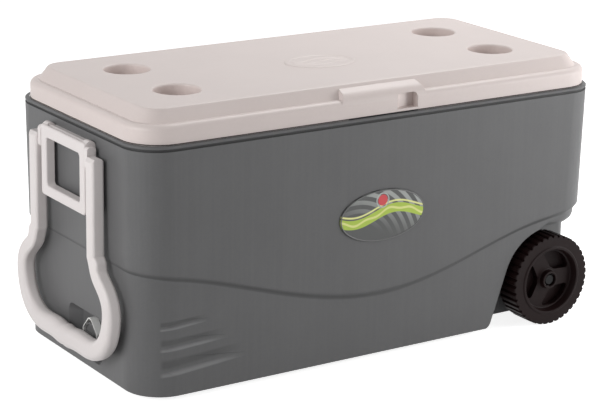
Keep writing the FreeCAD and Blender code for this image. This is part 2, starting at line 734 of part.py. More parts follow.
def bracket_points(end):
    """Where the screws of a handle bracket enter the end wall; end is -1 or 1."""
    height = "lift_z - barrel_radius - screw_head - 2"
    spots = (-46, -18, 18, 46)
    return [(f"{end} * (wall_at_lift + bracket_plate)", str(y), height) for y in spots]


def leaf_points(side):
    """Where the screws of a hinge's body leaf enter the back wall."""
    height = "rim_top - leaf_drop / 2 - 5"
    return [(f"{side} * hinge_x + {x}", "half_width + leaf_thickness", height)
            for x in (-19, 1, 19)]


def lid_leaf_points(side):
    """Where the screws of a hinge's lid leaf enter the lid's skirt."""
    return [(f"{side} * hinge_x + {x}", "half_width - lid_back_inset + leaf_thickness",
             "hinge_z + leaf_rise - 8") for x in (-18, 18)]


def screw(point, inwards, length):
    """A pan-head screw whose head sits on a point and whose shank runs inwards."""
    head, rise, shank = amount("screw_head"), amount("screw_head_height"), amount("screw_radius")
    profile = [(0, -rise), (head * 0.55, -rise), (head * 0.9, -rise * 0.6), (head, 0), (shank, 0),
               (shank, length - shank), (shank * 0.4, length), (0, length)]
    spot = vector(*[amount(c) for c in point])
    return turned(profile, spot, inwards)


def pilot_holes(name, points, inwards, length):
    """Holes for the shanks of a group of screws."""
    radius = amount("screw_radius + screw_play") / math.cos(math.pi / PILOT_SIDES)
    holes = []
    for point in points:
        spot = vector(*[amount(c) for c in point]) - inwards
        along = vector(inwards.y, inwards.x) * radius
        rim = [spot + along * math.cos(turn) + vector(0, 0, radius) * math.sin(turn)
               for turn in [(i + 0.5) * math.tau / PILOT_SIDES for i in range(PILOT_SIDES)]]
        face = Part.Face(Part.makePolygon(rim + rim[:1]))
        holes.append(face.extrude(inwards * (length + 2)))
    item = doc.addObject("Part::Feature", name)
    item.Shape = Part.makeCompound(holes)
    return item


SCREW_BITE = 3.2   # how far a screw reaches past the plate that it holds
PILOT_SIDES = 12   # a pilot hole is a prism round its screw


def outer_shell():
    """Blow-moulded outer box with rim bead, crease, scoops, wheel arches, an axle tunnel
    between them, a drain recess and two feet."""
    body = wall_form("box_form", "ground_gap", "groove_low", "0", "0", "0", "0",
                     ("base_round", "base_round", "base_round"))
    ring_pad(body, "groove_layer", "groove_low", "rim_top - bead_height", "groove_depth")
    bead = []
    for tag, height, inset in (("bead_low", "rim_top - bead_height", "bead_round"),
                               ("bead_out", "rim_top - bead_height + bead_round", "0"),
                               ("bead_up", "rim_top - bead_round", "0"),
                               ("bead_top", "rim_top", "bead_round")):
        bead.append(ring_sketch(body, tag, height, inset))
    loft(body, bead)
    feet = [foot(side) for side in (-1, 1)]
    solid = fuse("box_with_feet", body, *feet)
    tunnel = rod("axle_tunnel", "axle_radius + axle_play", "2 * half_width", "y",
                 "wheel_x", "0 - half_width", "wheel_radius")
    badge_seat = badge_form("badge_seat", 0.3, "badge_sunk + 10", "half_width + 10")
    spigot_hole = rod("spigot_hole", "drain_bore + spigot_wall + screw_play", f"{FAR}", "x",
                      f"0 - recess_floor - {FAR} / 2", "drain_y", "drain_z")
    mouth = ring_layer("mouth", "rim_top - bead_width", "rim_top + 1", "bead_width + bead_lip")
    rebate = ring_layer("rebate", "rim_top - flange_thickness", "rim_top + 1", "bead_width")
    pilots = all_pilot_holes()
    rounded = wall_form("rounded_end", "well_roof", "well_roof + roof_round_height + 1",
                        "crease_side_step", "crease_wheel_step", "crease_tow_step", "0",
                        ("roof_round_height", "roof_round_side", "roof_round"))
    return cut("outer_shell_form", solid, crease_band(), *scoops(), wheel_wells("wells", "0"),
               roof_band("roof_edges", fuse("kept_end", rounded, core_block("kept_core", "0")), 0),
               drain_recess("recess", "0"), tunnel, badge_seat, spigot_hole, mouth, rebate,
               foam_space(), *pilots)


def roof_band(name, rounded, reach):
    """What lies outside a rounded form, low over the wheels, from where the arch ends to
    the end wall. It starts along a slant, so that the rounding fades in."""
    start, roof = amount("roof_round_start"), amount("well_roof")
    rise, fade = amount("roof_round_height"), amount("roof_fade")
    out, base = amount("half_length") + FAR, amount("ground_gap") / 2
    corners = [(start - reach, base), (out, base), (out, roof + rise + reach),
               (start + fade - reach, roof + rise + reach), (start - reach, roof)]
    slab = profile_body(name + "_slab", "XZ_Plane", outline(corners), f"body_width + {FAR}",
                        both_ways=True)
    return cut(name, slab, rounded)


def foot(side):
    """One moulded foot under the tow end, sunk a little way into the underside."""
    tag = "front" if side < 0 else "back"
    body = new_body("foot_" + tag)
    sketch = new_sketch(body, "foot_plan_" + tag, "XY_Plane",
                        ("0 - foot_x", f"{side} * foot_y", "0"))
    draw_rectangle(sketch, "foot_length / 2", "foot_width / 2", "10")
    pad(body, sketch, "ground_gap + 1")
    round_edges(body, "2", level("0"))
    return body


def ring_layer(name, low, high, inset):
    """A rounded slab at the rim, drawn in by an inset, as a body of its own."""
    body = new_body(name)
    ring_pad(body, name + "_plan", low, high, inset)
    return body


def foam_space():
    """The room between shell and liner, which the foam fills, with the axle tunnel, the
    arches and the drain recess kept out of it."""
    low = wall_form("low_room", "ground_gap + shell_wall", "ground_gap + crease_tow_height + 4",
                    "crease_side_step + shell_wall", "crease_wheel_step + shell_wall",
                    "crease_tow_step + shell_wall", "shell_wall")
    high = wall_form("high_room", "ground_gap + crease_tow_height + 4",
                     "rim_top - bead_width", "shell_wall", "shell_wall", "shell_wall",
                     "shell_wall")
    tunnel = rod("tunnel_wall", "axle_radius + axle_play + shell_wall", "2 * well_wall", "y",
                 "wheel_x", "0 - well_wall", "wheel_radius")
    inner = new_body("inner_end")
    plan = new_sketch(inner, "inner_end_plan", "XY_Plane")
    draw_rectangle(plan, "core_end - roof_round - shell_wall",
                   "half_width - crease_side_step - roof_round_side - shell_wall - 1",
                   "corner_radius - roof_round_side")
    pad(inner, plan, "rim_top")
    edge_wall = roof_band("roof_edge_walls", fuse("kept_room", inner, core_block(
        "kept_inner_core", "shell_wall")), amount("shell_wall"))
    return cut("foam_room", fuse("both_rooms", low, high), wheel_wells("well_walls", "shell_wall"),
               drain_recess("recess_walls", "shell_wall"), tunnel, edge_wall, *scoop_walls())


def all_pilot_holes():
    reach = amount("bracket_plate") + SCREW_BITE
    leaf_reach = amount("leaf_thickness") + SCREW_BITE
    holes = []
    for end, tag in ((-1, "tow"), (1, "wheel")):
        holes.append(pilot_holes(f"{tag}_pilots", bracket_points(end), vector(-end, 0), reach))
    for side, tag in ((-1, "left"), (1, "right")):
        holes.append(pilot_holes(f"{tag}_pilots", leaf_points(side), vector(0, -1), leaf_reach))
    return holes


def liner_and_foam():
    flange = ring_layer("flange", "rim_top - flange_thickness", "rim_top", "bead_width")
    tub = liner_form("tub_outside", "0")
    space = liner_form("tub_inside", "liner_wall")
    above = block("above_rim", "0 - half_length", "0 - half_width", "rim_top", "body_length",
                  "body_width", f"{FAR}")
    nut_hole = rod("nut_hole", "drain_bore + spigot_wall + screw_play", f"{2 * FAR}", "x",
                   f"0 - recess_floor - {FAR} / 2", "drain_y", "drain_z")
    liner = cut("liner_piece", fuse("flanged_tub", flange, tub), space, above, nut_hole)
    publish(liner, "inner_liner")
    foam_hole = rod("foam_hole", "drain_bore + spigot_wall", f"{2 * FAR}", "x",
                    f"0 - recess_floor - {FAR} / 2", "drain_y", "drain_z")
    room = fuse("foam_and_mouth", foam_space(), ring_layer(
        "foam_top", "rim_top - bead_width", "rim_top - flange_thickness", "bead_width + bead_lip"))
    tub_again = liner_form("tub_in_foam", "0")
    publish(cut("foam_piece", room, tub_again, foam_hole), "insulation_foam")


# ---- drain ----------------------------------------------------------------------------

def drain_parts():
    """A flanged spigot through both walls, with a nut inside, a gasket, a screw cap and a
    strap that keeps the cap."""
    bore = amount("drain_bore")
    tube = amount("drain_bore + spigot_wall")
    flange = amount("spigot_flange")
    thin = amount("gasket_thickness")
    inside = amount("half_length - liner_inset - liner_wall")
    outwards = vector(-1, 0)
    start = vector(-amount("recess_floor"), amount("drain_y"), amount("drain_z"))
    lean = amount("liner_draft * (1 - (drain_z - liner_floor) / (rim_top - liner_floor))")
    through = amount("recess_floor") - inside + lean + amount("nut_length") + 1.6
    reach = amount("spigot_reach")
    spigot = turned([(bore, -through), (tube, -through), (tube, thin), (flange, thin),
                     (flange, 2 * thin), (tube, 2 * thin), (tube, reach), (bore, reach)],
                    start, outwards)
    publish_shape("drain_spigot", spigot)
    gasket = turned([(tube + 0.1, 0), (flange - 1, 0), (flange - 1, thin), (tube + 0.1, thin)],
                    start, outwards)
    publish_shape("drain_gasket", gasket)
    nut_face = start - outwards * (amount("recess_floor") - inside + lean + 0.6)
    nut = nut_shape(tube + 0.05, amount("nut_radius"), amount("nut_length"), nut_face, -outwards)
    publish_shape("drain_nut", nut)
    play = amount("running_play")
    wall = amount("cap_wall")
    cap_radius, length = amount("drain_cap_radius"), amount("drain_cap_length")
    lip = 2 * thin + 2.1
    front = lip + length
    cap = turned([(0, reach + 0.4), (tube + play, reach + 0.4), (tube + play, lip),
                  (cap_radius, lip), (cap_radius, front - 1), (cap_radius - 1, front),
                  (cap_radius - wall, front), (cap_radius - wall - 1, front - 1.6),
                  (0, front - 1.6)], start, outwards)
    bar = Part.makeBox(4, 1.6 * cap_radius, 5, vector(-front - 2, start.y - 0.8 * cap_radius,
                                                      start.z - 2.5))
    bar.translate(vector(start.x, 0))
    cap = cap.fuse(bar)
    grooves = [Part.makeCylinder(1.3, length + 4, start + outwards * (lip - 2)
                                 + vector(0, math.cos(a), math.sin(a)) * (cap_radius + 0.4),
                                 outwards)
               for a in [math.radians(step) for step in range(0, 360, 24)]]
    publish_shape("drain_cap", cap.cut(Part.makeCompound(grooves)))
    publish_shape("drain_tether", tether_shape(start, 2 * thin + 0.2, tube))


def nut_shape(bore, across, length, seat, direction):
    """A six-lobed nut with a round bore."""
    corners = [vector(across * math.cos(math.radians(60 * i)),
                      across * math.sin(math.radians(60 * i))) for i in range(6)]
    face = Part.Face([Part.makePolygon(corners + corners[:1])])
    solid = face.extrude(vector(0, 0, length)).cut(Part.makeCylinder(bore, length))
    solid.Placement = FreeCAD.Placement(seat, FreeCAD.Rotation(vector(0, 0, 1), direction))
    return solid


def tether_shape(start, low, neck):
    """A strap that peaks over the cap: a plate behind the cap, held by the spigot's neck,
    with a band along its upper edge that stands out from the wall."""
    thick, band = 1.4, 2.2
    peak, half, width = amount("hood_rise"), amount("hood_half"), amount("hood_width")
    hole = Part.makeCylinder(neck + 0.4, width * 2, vector(0, 0, -width))

    def peaked(less):
        corners = [(-half + less, -16, 8), (-half + less, 6, 8),
                   (0, peak * 1.22 - 1.3 * less, 9), (half - less, 6, 8),
                   (half - less, -16, 8)]
        edges = [edge.toShape() for edge in outline(corners)]
        return Part.Face(Part.Wire(Part.__sortEdges__(edges)))

    plate = peaked(0).extrude(vector(0, 0, thick))
    rim = peaked(0).extrude(vector(0, 0, width)).cut(
        peaked(band).extrude(vector(0, 0, width))).cut(
        Part.makeBox(4 * half, 40, width, vector(-2 * half, -44, 0)))
    solid = plate.fuse(rim).cut(hole).removeSplitter()
    solid.translate(vector(0, 0, low))
    turn = FreeCAD.Rotation(vector(0, -1), vector(0, 0, 1), vector(-1, 0), "ZYX")
    solid.Placement = FreeCAD.Placement(start, turn).multiply(solid.Placement)
    return solid


# ---- badge ----------------------------------------------------------------------------

def badge_form(name, grow, depth, face):
    """An oval plate on the front wall; face is how far its front stands from the middle."""
    body = new_body(name)
    sketch = new_sketch(body, name + "_oval", "XZ_Plane",
                        ("badge_x", "ground_gap + badge_height", face))
    ellipse = Part.Ellipse(vector(0, 0), amount("badge_half_width") + grow,
                           amount("badge_half_height") + grow)
    draw(sketch, [ellipse])
    pad(body, sketch, depth, backwards=True)
    return body


def badge():
    body = badge_form("badge_plate", 0, "badge_thickness",
                      "half_width - badge_sunk + badge_thickness")
    front = -amount("half_width - badge_sunk + badge_thickness")
    round_edges(body, "1.2", lambda edge: edge.BoundBox.YMax < front + 0.01)
    publish(body, "badge_oval")


# ---- wheels and axle ------------------------------------------------------------------

def wheel(side):
    """One moulded wheel: a tread band, a dished disc with three windows and a long hub. It
    is drawn with its outer face at y = 0 and its axle along Y."""
    tag = "front" if side < 0 else "back"
    body = new_body("wheel_" + tag)
    tread, wide = amount("wheel_radius"), amount("wheel_width")
    rim, dish = amount("rim_radius"), amount("dish_depth")
    disc, band = amount("disc_thickness"), amount("tyre_band")
    lip, sunk = amount("rim_lip"), amount("side_sunk")
    hub, bore = amount("hub_radius"), amount("axle_radius + running_play")
    hollow, hub_face = amount("washer_radius + hub_clear"), amount("hub_face")
    inner = amount("wheel_face - well_wall - washer_thickness - washer_play")
    seat = amount("hub_sunk + cap_length + washer_thickness + washer_play")
    corners = [(bore, seat), (hollow, seat), (hollow, hub_face, 1), (hub, hub_face, 1),
               (hub + 1, dish, 2), (rim - 3, dish, 2), (rim, 0, 1), (rim + lip, 0, 1),
               (rim + lip + 1.2, sunk, 1), (tread - 1.4, sunk), (tread, sunk + 1.4),
               (tread, wide - 4, 2), (tread - 4, wide, 2),
               (tread - band, wide), (tread - band, dish + disc, 3), (hub, dish + disc, 2),
               (hub, inner), (bore, inner)]
    sketch = new_sketch(body, f"wheel_profile_{tag}", "XY_Plane")
    draw(sketch, outline(corners))
    revolve(body, sketch)
    doc.recompute()
    hollow_plan = new_sketch(body, f"pocket_{tag}", "XZ_Plane", ("0", "0", "0 - dish_depth"))
    far, near = amount("pocket_radius"), amount("pocket_start")
    half = math.radians(amount("pocket_angle"))
    draw(hollow_plan, outline([(-near, -6, 5), (-far * math.cos(half), -far * math.sin(half), 5),
                               (-far * math.cos(half / 3) - 2, -far * math.sin(half / 3), 30),
                               (-far * math.cos(half / 3) - 2, far * math.sin(half / 3), 30),
                               (-far * math.cos(half), far * math.sin(half), 5),
                               (-near, 6, 5)]))
    opening = pocket(body, hollow_plan, "pocket_depth", backwards=False)
    spread(body, opening, "3", "Y_Axis")
    groove = new_sketch(body, f"tread_{tag}", "XZ_Plane", ("wheel_radius", "0", "0"))
    depth, gap = amount("tread_depth"), amount("tread_groove")
    draw(groove, outline([(-depth, -gap / 4), (3, -gap), (3, gap), (-depth, gap / 4)]))
    notch = pocket(body, groove, "wheel_width", backwards=False)
    spread(body, notch, "tread_count", "Y_Axis")
    if side > 0:
        body.Placement = FreeCAD.Placement(vector(0, 0), FreeCAD.Rotation(vector(0, 0, 1), 180))
    publish(body, f"wheel_{tag}", "wheel_x", f"{side} * wheel_face", "wheel_radius")


def axle_parts():
    """A steel axle through the box, with a washer on each side of each wheel and a
    push-on cap at each end."""
    reach = "wheel_face - hub_sunk - 1.5"
    publish(rod("axle_rod", "axle_radius", f"2 * ({reach})", "y", "0", "0", "0"), "axle",
            "wheel_x", f"0 - ({reach})", "wheel_radius")
    inner = amount("well_wall")
    outer = amount("wheel_face - hub_sunk - cap_length - washer_thickness")
    thick, play = amount("washer_thickness"), amount("running_play")
    bore, edge = amount("axle_radius") + play, amount("washer_radius")
    centre_x, centre_z = amount("wheel_x"), amount("wheel_radius")
    washer = [(bore, 0), (edge, 0), (edge, thick), (bore, thick)]
    cap = amount("cap_radius")
    length = amount("cap_length")
    cup = [(0, length - 1.4), (amount("axle_radius"), length - 1.4), (amount("axle_radius"), 0),
           (cap, 0), (cap, length - 2), (cap - 2, length), (0, length)]
    for side, tag in ((-1, "front"), (1, "back")):
        out = vector(0, side)
        for place_name, distance in (("inner", inner), ("outer", outer)):
            spot = vector(centre_x, side * distance, centre_z)
            publish_shape(f"washer_{place_name}_{tag}", turned(washer, spot, out))
        spot = vector(centre_x, side * (outer + thick), centre_z)
        publish_shape(f"axle_cap_{tag}", turned(cup, spot, out))


# ---- lid ------------------------------------------------------------------------------

def lid_plan(body, tag, height, inset, corner):
    sketch = new_sketch(body, tag, "XY_Plane", ("0", "lid_y", height))
    draw_rectangle(sketch, f"lid_half_length - ({inset})", f"lid_half_width - ({inset})", corner)
    return sketch


def lid_solid():
    """The lid's outer form: a skirt, a shelf and a raised top, with a brow over the
    finger recess."""
    body = new_body("lid_outside")
    pad(body, lid_plan(body, "skirt_plan", "lid_base", "0", "lid_corner"), "skirt_height")
    round_edges(body, "skirt_round", level("lid_base + skirt_height"))
    loft(body, [lid_plan(body, "shelf_plan", "lid_base + skirt_height", "shelf_width",
                         "lid_corner - shelf_width"),
                lid_plan(body, "top_plan", "lid_top", "top_inset", "lid_corner - top_inset")])
    round_edges(body, "top_round", level("lid_top"))
    front = amount("0 - half_width + lid_front_inset")
    base, top = amount("lid_base"), amount("lid_top")
    skirt, inset = amount("skirt_height"), amount("top_inset")
    slope = outline([(front + 0.3, base + skirt - 12), (front + 0.3, top - 14, 22),
                     (front + inset + 10, top - 0.6), (front + inset + 10, base + skirt - 12)])
    brow = profile_body("brow", "YZ_Plane", slope, "2 * brow_half", both_ways=True)
    half, lean = amount("brow_half"), amount("brow_lean")
    low, middle = base + skirt - 11, base + skirt - 7
    ends = outline([(-half, low), (half, low), (half, middle), (half - lean, top),
                    (lean - half, top), (-half, middle)])
    leaning = doc.addObject("Part::Common", "leaning_brow")
    leaning.Base = brow
    leaning.Tool = profile_body("brow_ends", "XZ_Plane", ends, "body_width", both_ways=True)
    return fuse("lid_with_brow", body, leaning)


def cup_wells(name, radius, depth, above):
    """The four cup wells as one group of discs."""
    wells = []
    for i, (sx, sy) in enumerate(((-1, -1), (1, -1), (-1, 1), (1, 1)), 1):
        wells.append(rod(f"{name}_{i}", radius, f"({depth}) + ({above})", "z", f"{sx} * cup_x",
                         f"lid_y + {sy} * cup_y", f"lid_top - ({depth})"))
    return fuse(name, *wells)


def pull_space(name, grow):
    """The finger recess in the front of the skirt, with a floor that slopes in to a sharp
    end, and the shade slit below it. Grown, it is the block of wall round both, down to
    the lid's underside."""
    more = amount(grow)
    front = -amount("half_width - lid_front_inset")
    left, right = amount("pull_start") - more, amount("pull_start + pull_length") + more
    deep, ramp = amount("pull_depth"), amount("pull_ramp")
    low = amount("lid_base + pull_lip" if more == 0 else "lid_base - 3")
    high = amount("lid_base + pull_lip + pull_height") + more
    corners = [(left, low, 1), (right, low, 1), (right, high, 9), (left, high, 5)]
    hole = profile_body(name + "_hole", "XZ_Plane", outline(corners),
                        f"pull_depth + {FAR} + ({grow})",
                        ("0", "0", f"half_width - lid_front_inset + {FAR}"), backwards=True)
    behind = front + more + deep + FAR
    edge = [(left - FAR, front + more), (left, front + more), (left + ramp, front + more + 0.6 * deep),
            (right, front + more + deep), (right + FAR, front + more + deep),
            (right + FAR, behind), (left - FAR, behind)]
    floor = profile_body(name + "_floor", "XY_Plane", outline(edge), f"rim_top + {2 * FAR}")
    slit_low, slit_high = ("lid_base - 3", f"slit_height + 3 + ({grow})")
    slit = block(name + "_slit", f"0 - slit_reach - ({grow})", f"0 - half_width - {FAR}", slit_low,
                 f"slit_reach + pull_start + pull_length + 2 * ({grow})",
                 f"{FAR} + lid_front_inset + slit_depth + ({grow})", slit_high)
    return fuse(name, cut(name + "_wedge", hole, floor), slit)


def lid_room():
    """The hollow of the lid, with walls left round the cup wells and the finger recess."""
    body = new_body("lid_inside")
    low = "lid_base - 1"
    pad(body, lid_plan(body, "room_plan", low, "lid_wall", "lid_corner - lid_wall"),
        "skirt_height - lid_wall - 2")
    loft(body, [lid_plan(body, "room_shelf", "lid_base + skirt_height - lid_wall - 3",
                         "shelf_width + lid_wall + 4", "lid_corner - shelf_width - lid_wall - 4"),
                lid_plan(body, "room_top", "lid_top - lid_wall", "top_inset + lid_wall",
                         "lid_corner - top_inset - lid_wall")])
    return cut("lid_hollow", body, cup_wells("well_sides", "cup_radius + lid_wall",
                                             "cup_depth + lid_wall", "1"),
               pull_space("pull_sides", "lid_wall"))


def lid_parts():
    wells = cup_wells("wells_of_lid", "cup_radius", "cup_depth", "5")
    pilots = [pilot_holes(f"lid_pilots_{tag}", lid_leaf_points(side), vector(0, -1),
                          amount("leaf_thickness") + amount("lid_wall") - 0.4)
              for side, tag in ((-1, "left"), (1, "right"))]
    bare = cut("lid_bare", lid_solid(), lid_room(), wells, pull_space("pull", "0"), *pilots)
    doc.recompute()
    lid_top = amount("lid_top")
    cup = amount("cup_radius")
    rims = [i for i, edge in enumerate(bare.Shape.Edges, 1)
            if abs(edge.BoundBox.ZMin - lid_top) < 0.01
            and abs(edge.BoundBox.XLength - 2 * cup) < 0.5]
    soft = doc.addObject("Part::Fillet", "lid_softened")
    soft.Base = bare
    radius = amount("cup_round")
    soft.Edges = [(i, radius, radius) for i in rims]
    publish(soft, "lid_shell")
    tray = new_body("lid_tray")
    rest = "lid_base"
    pad(tray, lid_plan(tray, "tray_plan", rest, "lid_wall", "lid_corner - lid_wall"), "lid_wall")
    plug = plug_plan(tray, "plug_plan", rest, "0")
    pad(tray, plug, "plug_depth", backwards=True)
    hollow = plug_plan(tray, "plug_hollow", "lid_base + lid_wall", "lid_wall")
    pocket(tray, hollow, "plug_depth")
    publish(cut("lid_tray_cut", tray, pull_space("tray_notch", "lid_wall")), "lid_liner")
    core = new_body("lid_core")
    pad(core, plug_plan(core, "core_plan", "lid_base + lid_wall", "lid_wall"), "plug_depth",
        backwards=True)
    publish(core, "lid_foam")


def plug_plan(body, tag, height, inset):
    """The plan of the lid liner's plug, which drops into the mouth of the body liner."""
    sketch = new_sketch(body, tag, "XY_Plane", ("0", "0", height))
    reach = f"liner_inset + liner_wall + plug_gap + ({inset})"
    draw_rectangle(sketch, f"half_length - ({reach})", f"half_width - ({reach})",
                   f"liner_corner - liner_wall - plug_gap - ({inset})")
    return sketch


def hinge_knuckle(name, start, length, bore, side):
    """One knuckle of a lid hinge, as a tube along X."""
    solid = rod(name + "_round", "knuckle_radius", length, "x", f"{side} * hinge_x + ({start})",
                "hinge_y", "hinge_z")
    hole = rod(name + "_bore", bore, f"{length} + 2", "x", f"{side} * hinge_x + ({start}) - 1",
               "hinge_y", "hinge_z")
    return solid, hole


def hinge_parts(side):
    """One lid hinge: a body leaf with the middle knuckle, a lid leaf with the two outer
    ones, a pin and the screws."""
    tag = "left" if side < 0 else "right"
    middle, middle_bore = hinge_knuckle(f"mid_{tag}", "0 - hinge_middle", "2 * hinge_middle",
                                        "hinge_pin_radius + running_play", side)
    leaf = leaf_outline(f"body_leaf_{tag}", side,
                        [("half_width", "rim_top - leaf_drop"),
                         ("half_width + leaf_thickness", "rim_top - leaf_drop"),
                         ("half_width + leaf_thickness", "rim_top - 6"),
                         ("hinge_y + knuckle_radius - 1", "hinge_z - 3"),
                         ("hinge_y - knuckle_radius + 1", "hinge_z - 3"),
                         ("half_width", "rim_top - 8")], "2 * hinge_half")
    clear = [block(f"leaf_gap_{tag}_{n}", f"{side} * hinge_x + ({x})", "half_width - 2",
                   "rim_top - 5", "hinge_half - hinge_middle + 1", f"{FAR}", f"{FAR}")
             for n, x in ((1, "hinge_middle"), (2, "0 - hinge_half - 1"))]
    pilots = pilot_holes(f"leaf_holes_{tag}", leaf_points(side), vector(0, -1), SCREW_BITE)
    publish(cut(f"body_leaf_{tag}_cut", fuse(f"body_leaf_{tag}_all", leaf, middle),
                middle_bore, pilots, *clear), f"hinge_body_leaf_{tag}")
    outer = "hinge_half - hinge_middle - knuckle_gap"
    one, one_bore = hinge_knuckle(f"one_{tag}", "hinge_middle + knuckle_gap", outer,
                                  "hinge_pin_radius", side)
    two, two_bore = hinge_knuckle(f"two_{tag}", "0 - hinge_half", outer, "hinge_pin_radius", side)
    back = "half_width - lid_back_inset"
    lid_leaf = leaf_outline(f"lid_leaf_{tag}", side,
                            [(back, "hinge_z - 2.4"), ("hinge_y", "hinge_z - 2.4"),
                             ("hinge_y", "hinge_z + 2.6"),
                             (f"{back} + leaf_thickness", "hinge_z + 4"),
                             (f"{back} + leaf_thickness", "hinge_z + leaf_rise"),
                             (back, "hinge_z + leaf_rise")], "2 * hinge_half")
    slot = block(f"lid_leaf_slot_{tag}", f"{side} * hinge_x - hinge_middle - knuckle_gap",
                 "hinge_y - knuckle_radius - 1.5", "hinge_z - 10",
                 "2 * (hinge_middle + knuckle_gap)", "20", "20")
    lid_pilots = pilot_holes(f"lid_leaf_holes_{tag}", lid_leaf_points(side), vector(0, -1),
                             SCREW_BITE)
    publish(cut(f"lid_leaf_{tag}_cut", fuse(f"lid_leaf_{tag}_all", lid_leaf, one, two),
                one_bore, two_bore, slot, lid_pilots), f"hinge_lid_leaf_{tag}")
    publish(rod(f"pin_rod_{tag}", "hinge_pin_radius", "2 * hinge_half", "x", "0", "0", "0"),
            f"hinge_pin_{tag}", f"{side} * hinge_x - hinge_half", "hinge_y", "hinge_z")


def leaf_outline(name, side, points, length):
    corners = [(amount(y), amount(z)) for y, z in points]
    return profile_body(name, "YZ_Plane", outline(corners), length,
                        ("0", "0", f"{side} * hinge_x"), both_ways=True)


def screws():
    """The four groups of screws that hold the brackets and the hinges."""
    groups = []
    for end, node in ((-1, "tow_bracket_screws"), (1, "wheel_end_bracket_screws")):
        length = amount("bracket_plate") + SCREW_BITE
        groups.append((node, bracket_points(end), vector(-end, 0), length))
    bites = amount("leaf_thickness") + SCREW_BITE
    for node, maker, bite in (("hinge_body_screws", leaf_points, bites),
                              ("hinge_lid_screws", lid_leaf_points,
                               amount("leaf_thickness + lid_wall") - 0.6)):
        spots = maker(-1) + maker(1)
        groups.append((node, spots, vector(0, -1), bite))
    for node, spots, inwards, length in groups:
        solids = [screw(spot, inwards, length) for spot in spots]
        publish_shape(node, Part.makeCompound(solids))


# ---- lift handles ---------------------------------------------------------------------

def lift_bracket(end):
    """A plate on the end wall with a barrel that holds the lift handle's pin."""
    tag = "tow" if end < 0 else "wheel_end"
    half = "lift_half_width - knuckle_width - side_play"
    low_x = "wall_at_lift" if end > 0 else "0 - wall_at_lift - bracket_plate"
    plate = block(f"{tag}_plate", low_x, f"0 - ({half})", "lift_z - bracket_drop",
                  "bracket_plate", f"2 * ({half})", "bracket_drop + bracket_rise")
    barrel = rod(f"{tag}_barrel", "barrel_radius", f"2 * ({half})", "y", f"{end} * lift_x",
                 f"0 - ({half})", "lift_z")
    web_x = "wall_at_lift" if end > 0 else "0 - lift_x"
    web = block(f"{tag}_web", web_x, f"0 - ({half})", "lift_z - 4", "lift_out",
                f"2 * ({half})", "8")
    bore = rod(f"{tag}_barrel_bore", "lift_pin_radius", f"2 * ({half}) + 2", "y",
               f"{end} * lift_x", f"0 - ({half}) - 1", "lift_z")
    pilots = pilot_holes(f"{tag}_plate_holes", bracket_points(end), vector(-end, 0),
                         amount("bracket_plate"))
    publish(cut(f"{tag}_bracket_form", fuse(f"{tag}_bracket_all", plate, barrel, web), bore,
                pilots), f"{tag}_bracket")
    publish(rod(f"{tag}_pin_rod", "lift_pin_radius", "2 * (lift_half_width - 1)", "y", "0", "0",
                "0"), f"{tag}_hinge_pin", f"{end} * lift_x", "1 - lift_half_width", "lift_z")


def lift_handle(end):
    """A swing-up lift handle: a window frame whose thin top bar passes in front of the
    bracket, with a round knuckle at each top corner. At the tow end it carries ears with
    the tow handle's pins."""
    tag = "tow" if end < 0 else "wheel_end"
    half, drop = amount("lift_half_width"), amount("lift_drop")
    bar, rise = amount("lift_bar"), amount("lift_top_rise")
    top_drop = amount("lift_top_drop")
    z = amount("lift_z")
    frame = new_body(f"{tag}_frame")
    sketch = new_sketch(frame, f"{tag}_frame_outline", "YZ_Plane",
                        ("0", "0", f"{end} * (lift_x + lift_front)"))
    draw(sketch, outline([(-half, z - drop, 7), (half, z - drop, 7), (half, z + rise, 4),
                          (-half, z + rise, 4)]))
    pad(frame, sketch, "lift_bar_depth", backwards=end > 0)
    window = new_sketch(frame, f"{tag}_window", "YZ_Plane",
                        ("0", "0", f"{end} * (lift_x + lift_front)"))
    draw(window, outline([(bar - half, z - drop + bar, 6), (half - bar, z - drop + bar, 6),
                          (half - bar, z - top_drop, 6), (bar - half, z - top_drop, 6)]))
    pocket(frame, window, "lift_bar_depth", backwards=end < 0)
    front = amount("lift_x + lift_front")
    round_edges(frame, "3", lambda edge: (edge.BoundBox.XLength < 0.01 and
                                          abs(abs(edge.BoundBox.XMin) - front) < 0.01))
    inner = "lift_half_width - knuckle_width"
    knuckles, bores = [], []
    for side, side_tag in ((-1, "front"), (1, "back")):
        start = f"0 - lift_half_width" if side < 0 else inner
        knuckles.append(rod(f"{tag}_knuckle_{side_tag}", "lift_knuckle", "knuckle_width", "y",
                            f"{end} * lift_x", start, "lift_z"))
        bores.append(rod(f"{tag}_knuckle_bore_{side_tag}", "lift_pin_radius + running_play",
                         "knuckle_width - 0.8", "y", f"{end} * lift_x",
                         "0.8 - lift_half_width" if side < 0 else inner, "lift_z"))
    behind = lift_clearance(tag, end)
    solids = [frame] + knuckles
    if end > 0:
        whole = cut(f"{tag}_handle_form", cut(f"{tag}_frame_cut", frame, behind), *bores)
        whole = cut(f"{tag}_handle_bored", fuse(f"{tag}_handle_all", whole, *knuckles), *bores)
        publish(whole, "wheel_end_lift_handle")
        return
    ears = [ear(side) for side in (-1, 1)]
    pin_holes = [tow_pin(f"pin_seat_{n}", side, "0") for n, side in (("front", -1), ("back", 1))]
    open_frame = cut("tow_frame_cut", frame, behind)
    whole = fuse("tow_handle_all", open_frame, *knuckles, *ears)
    publish(cut("tow_handle_bored", whole, *bores, *pin_holes), "tow_end_lift_handle")


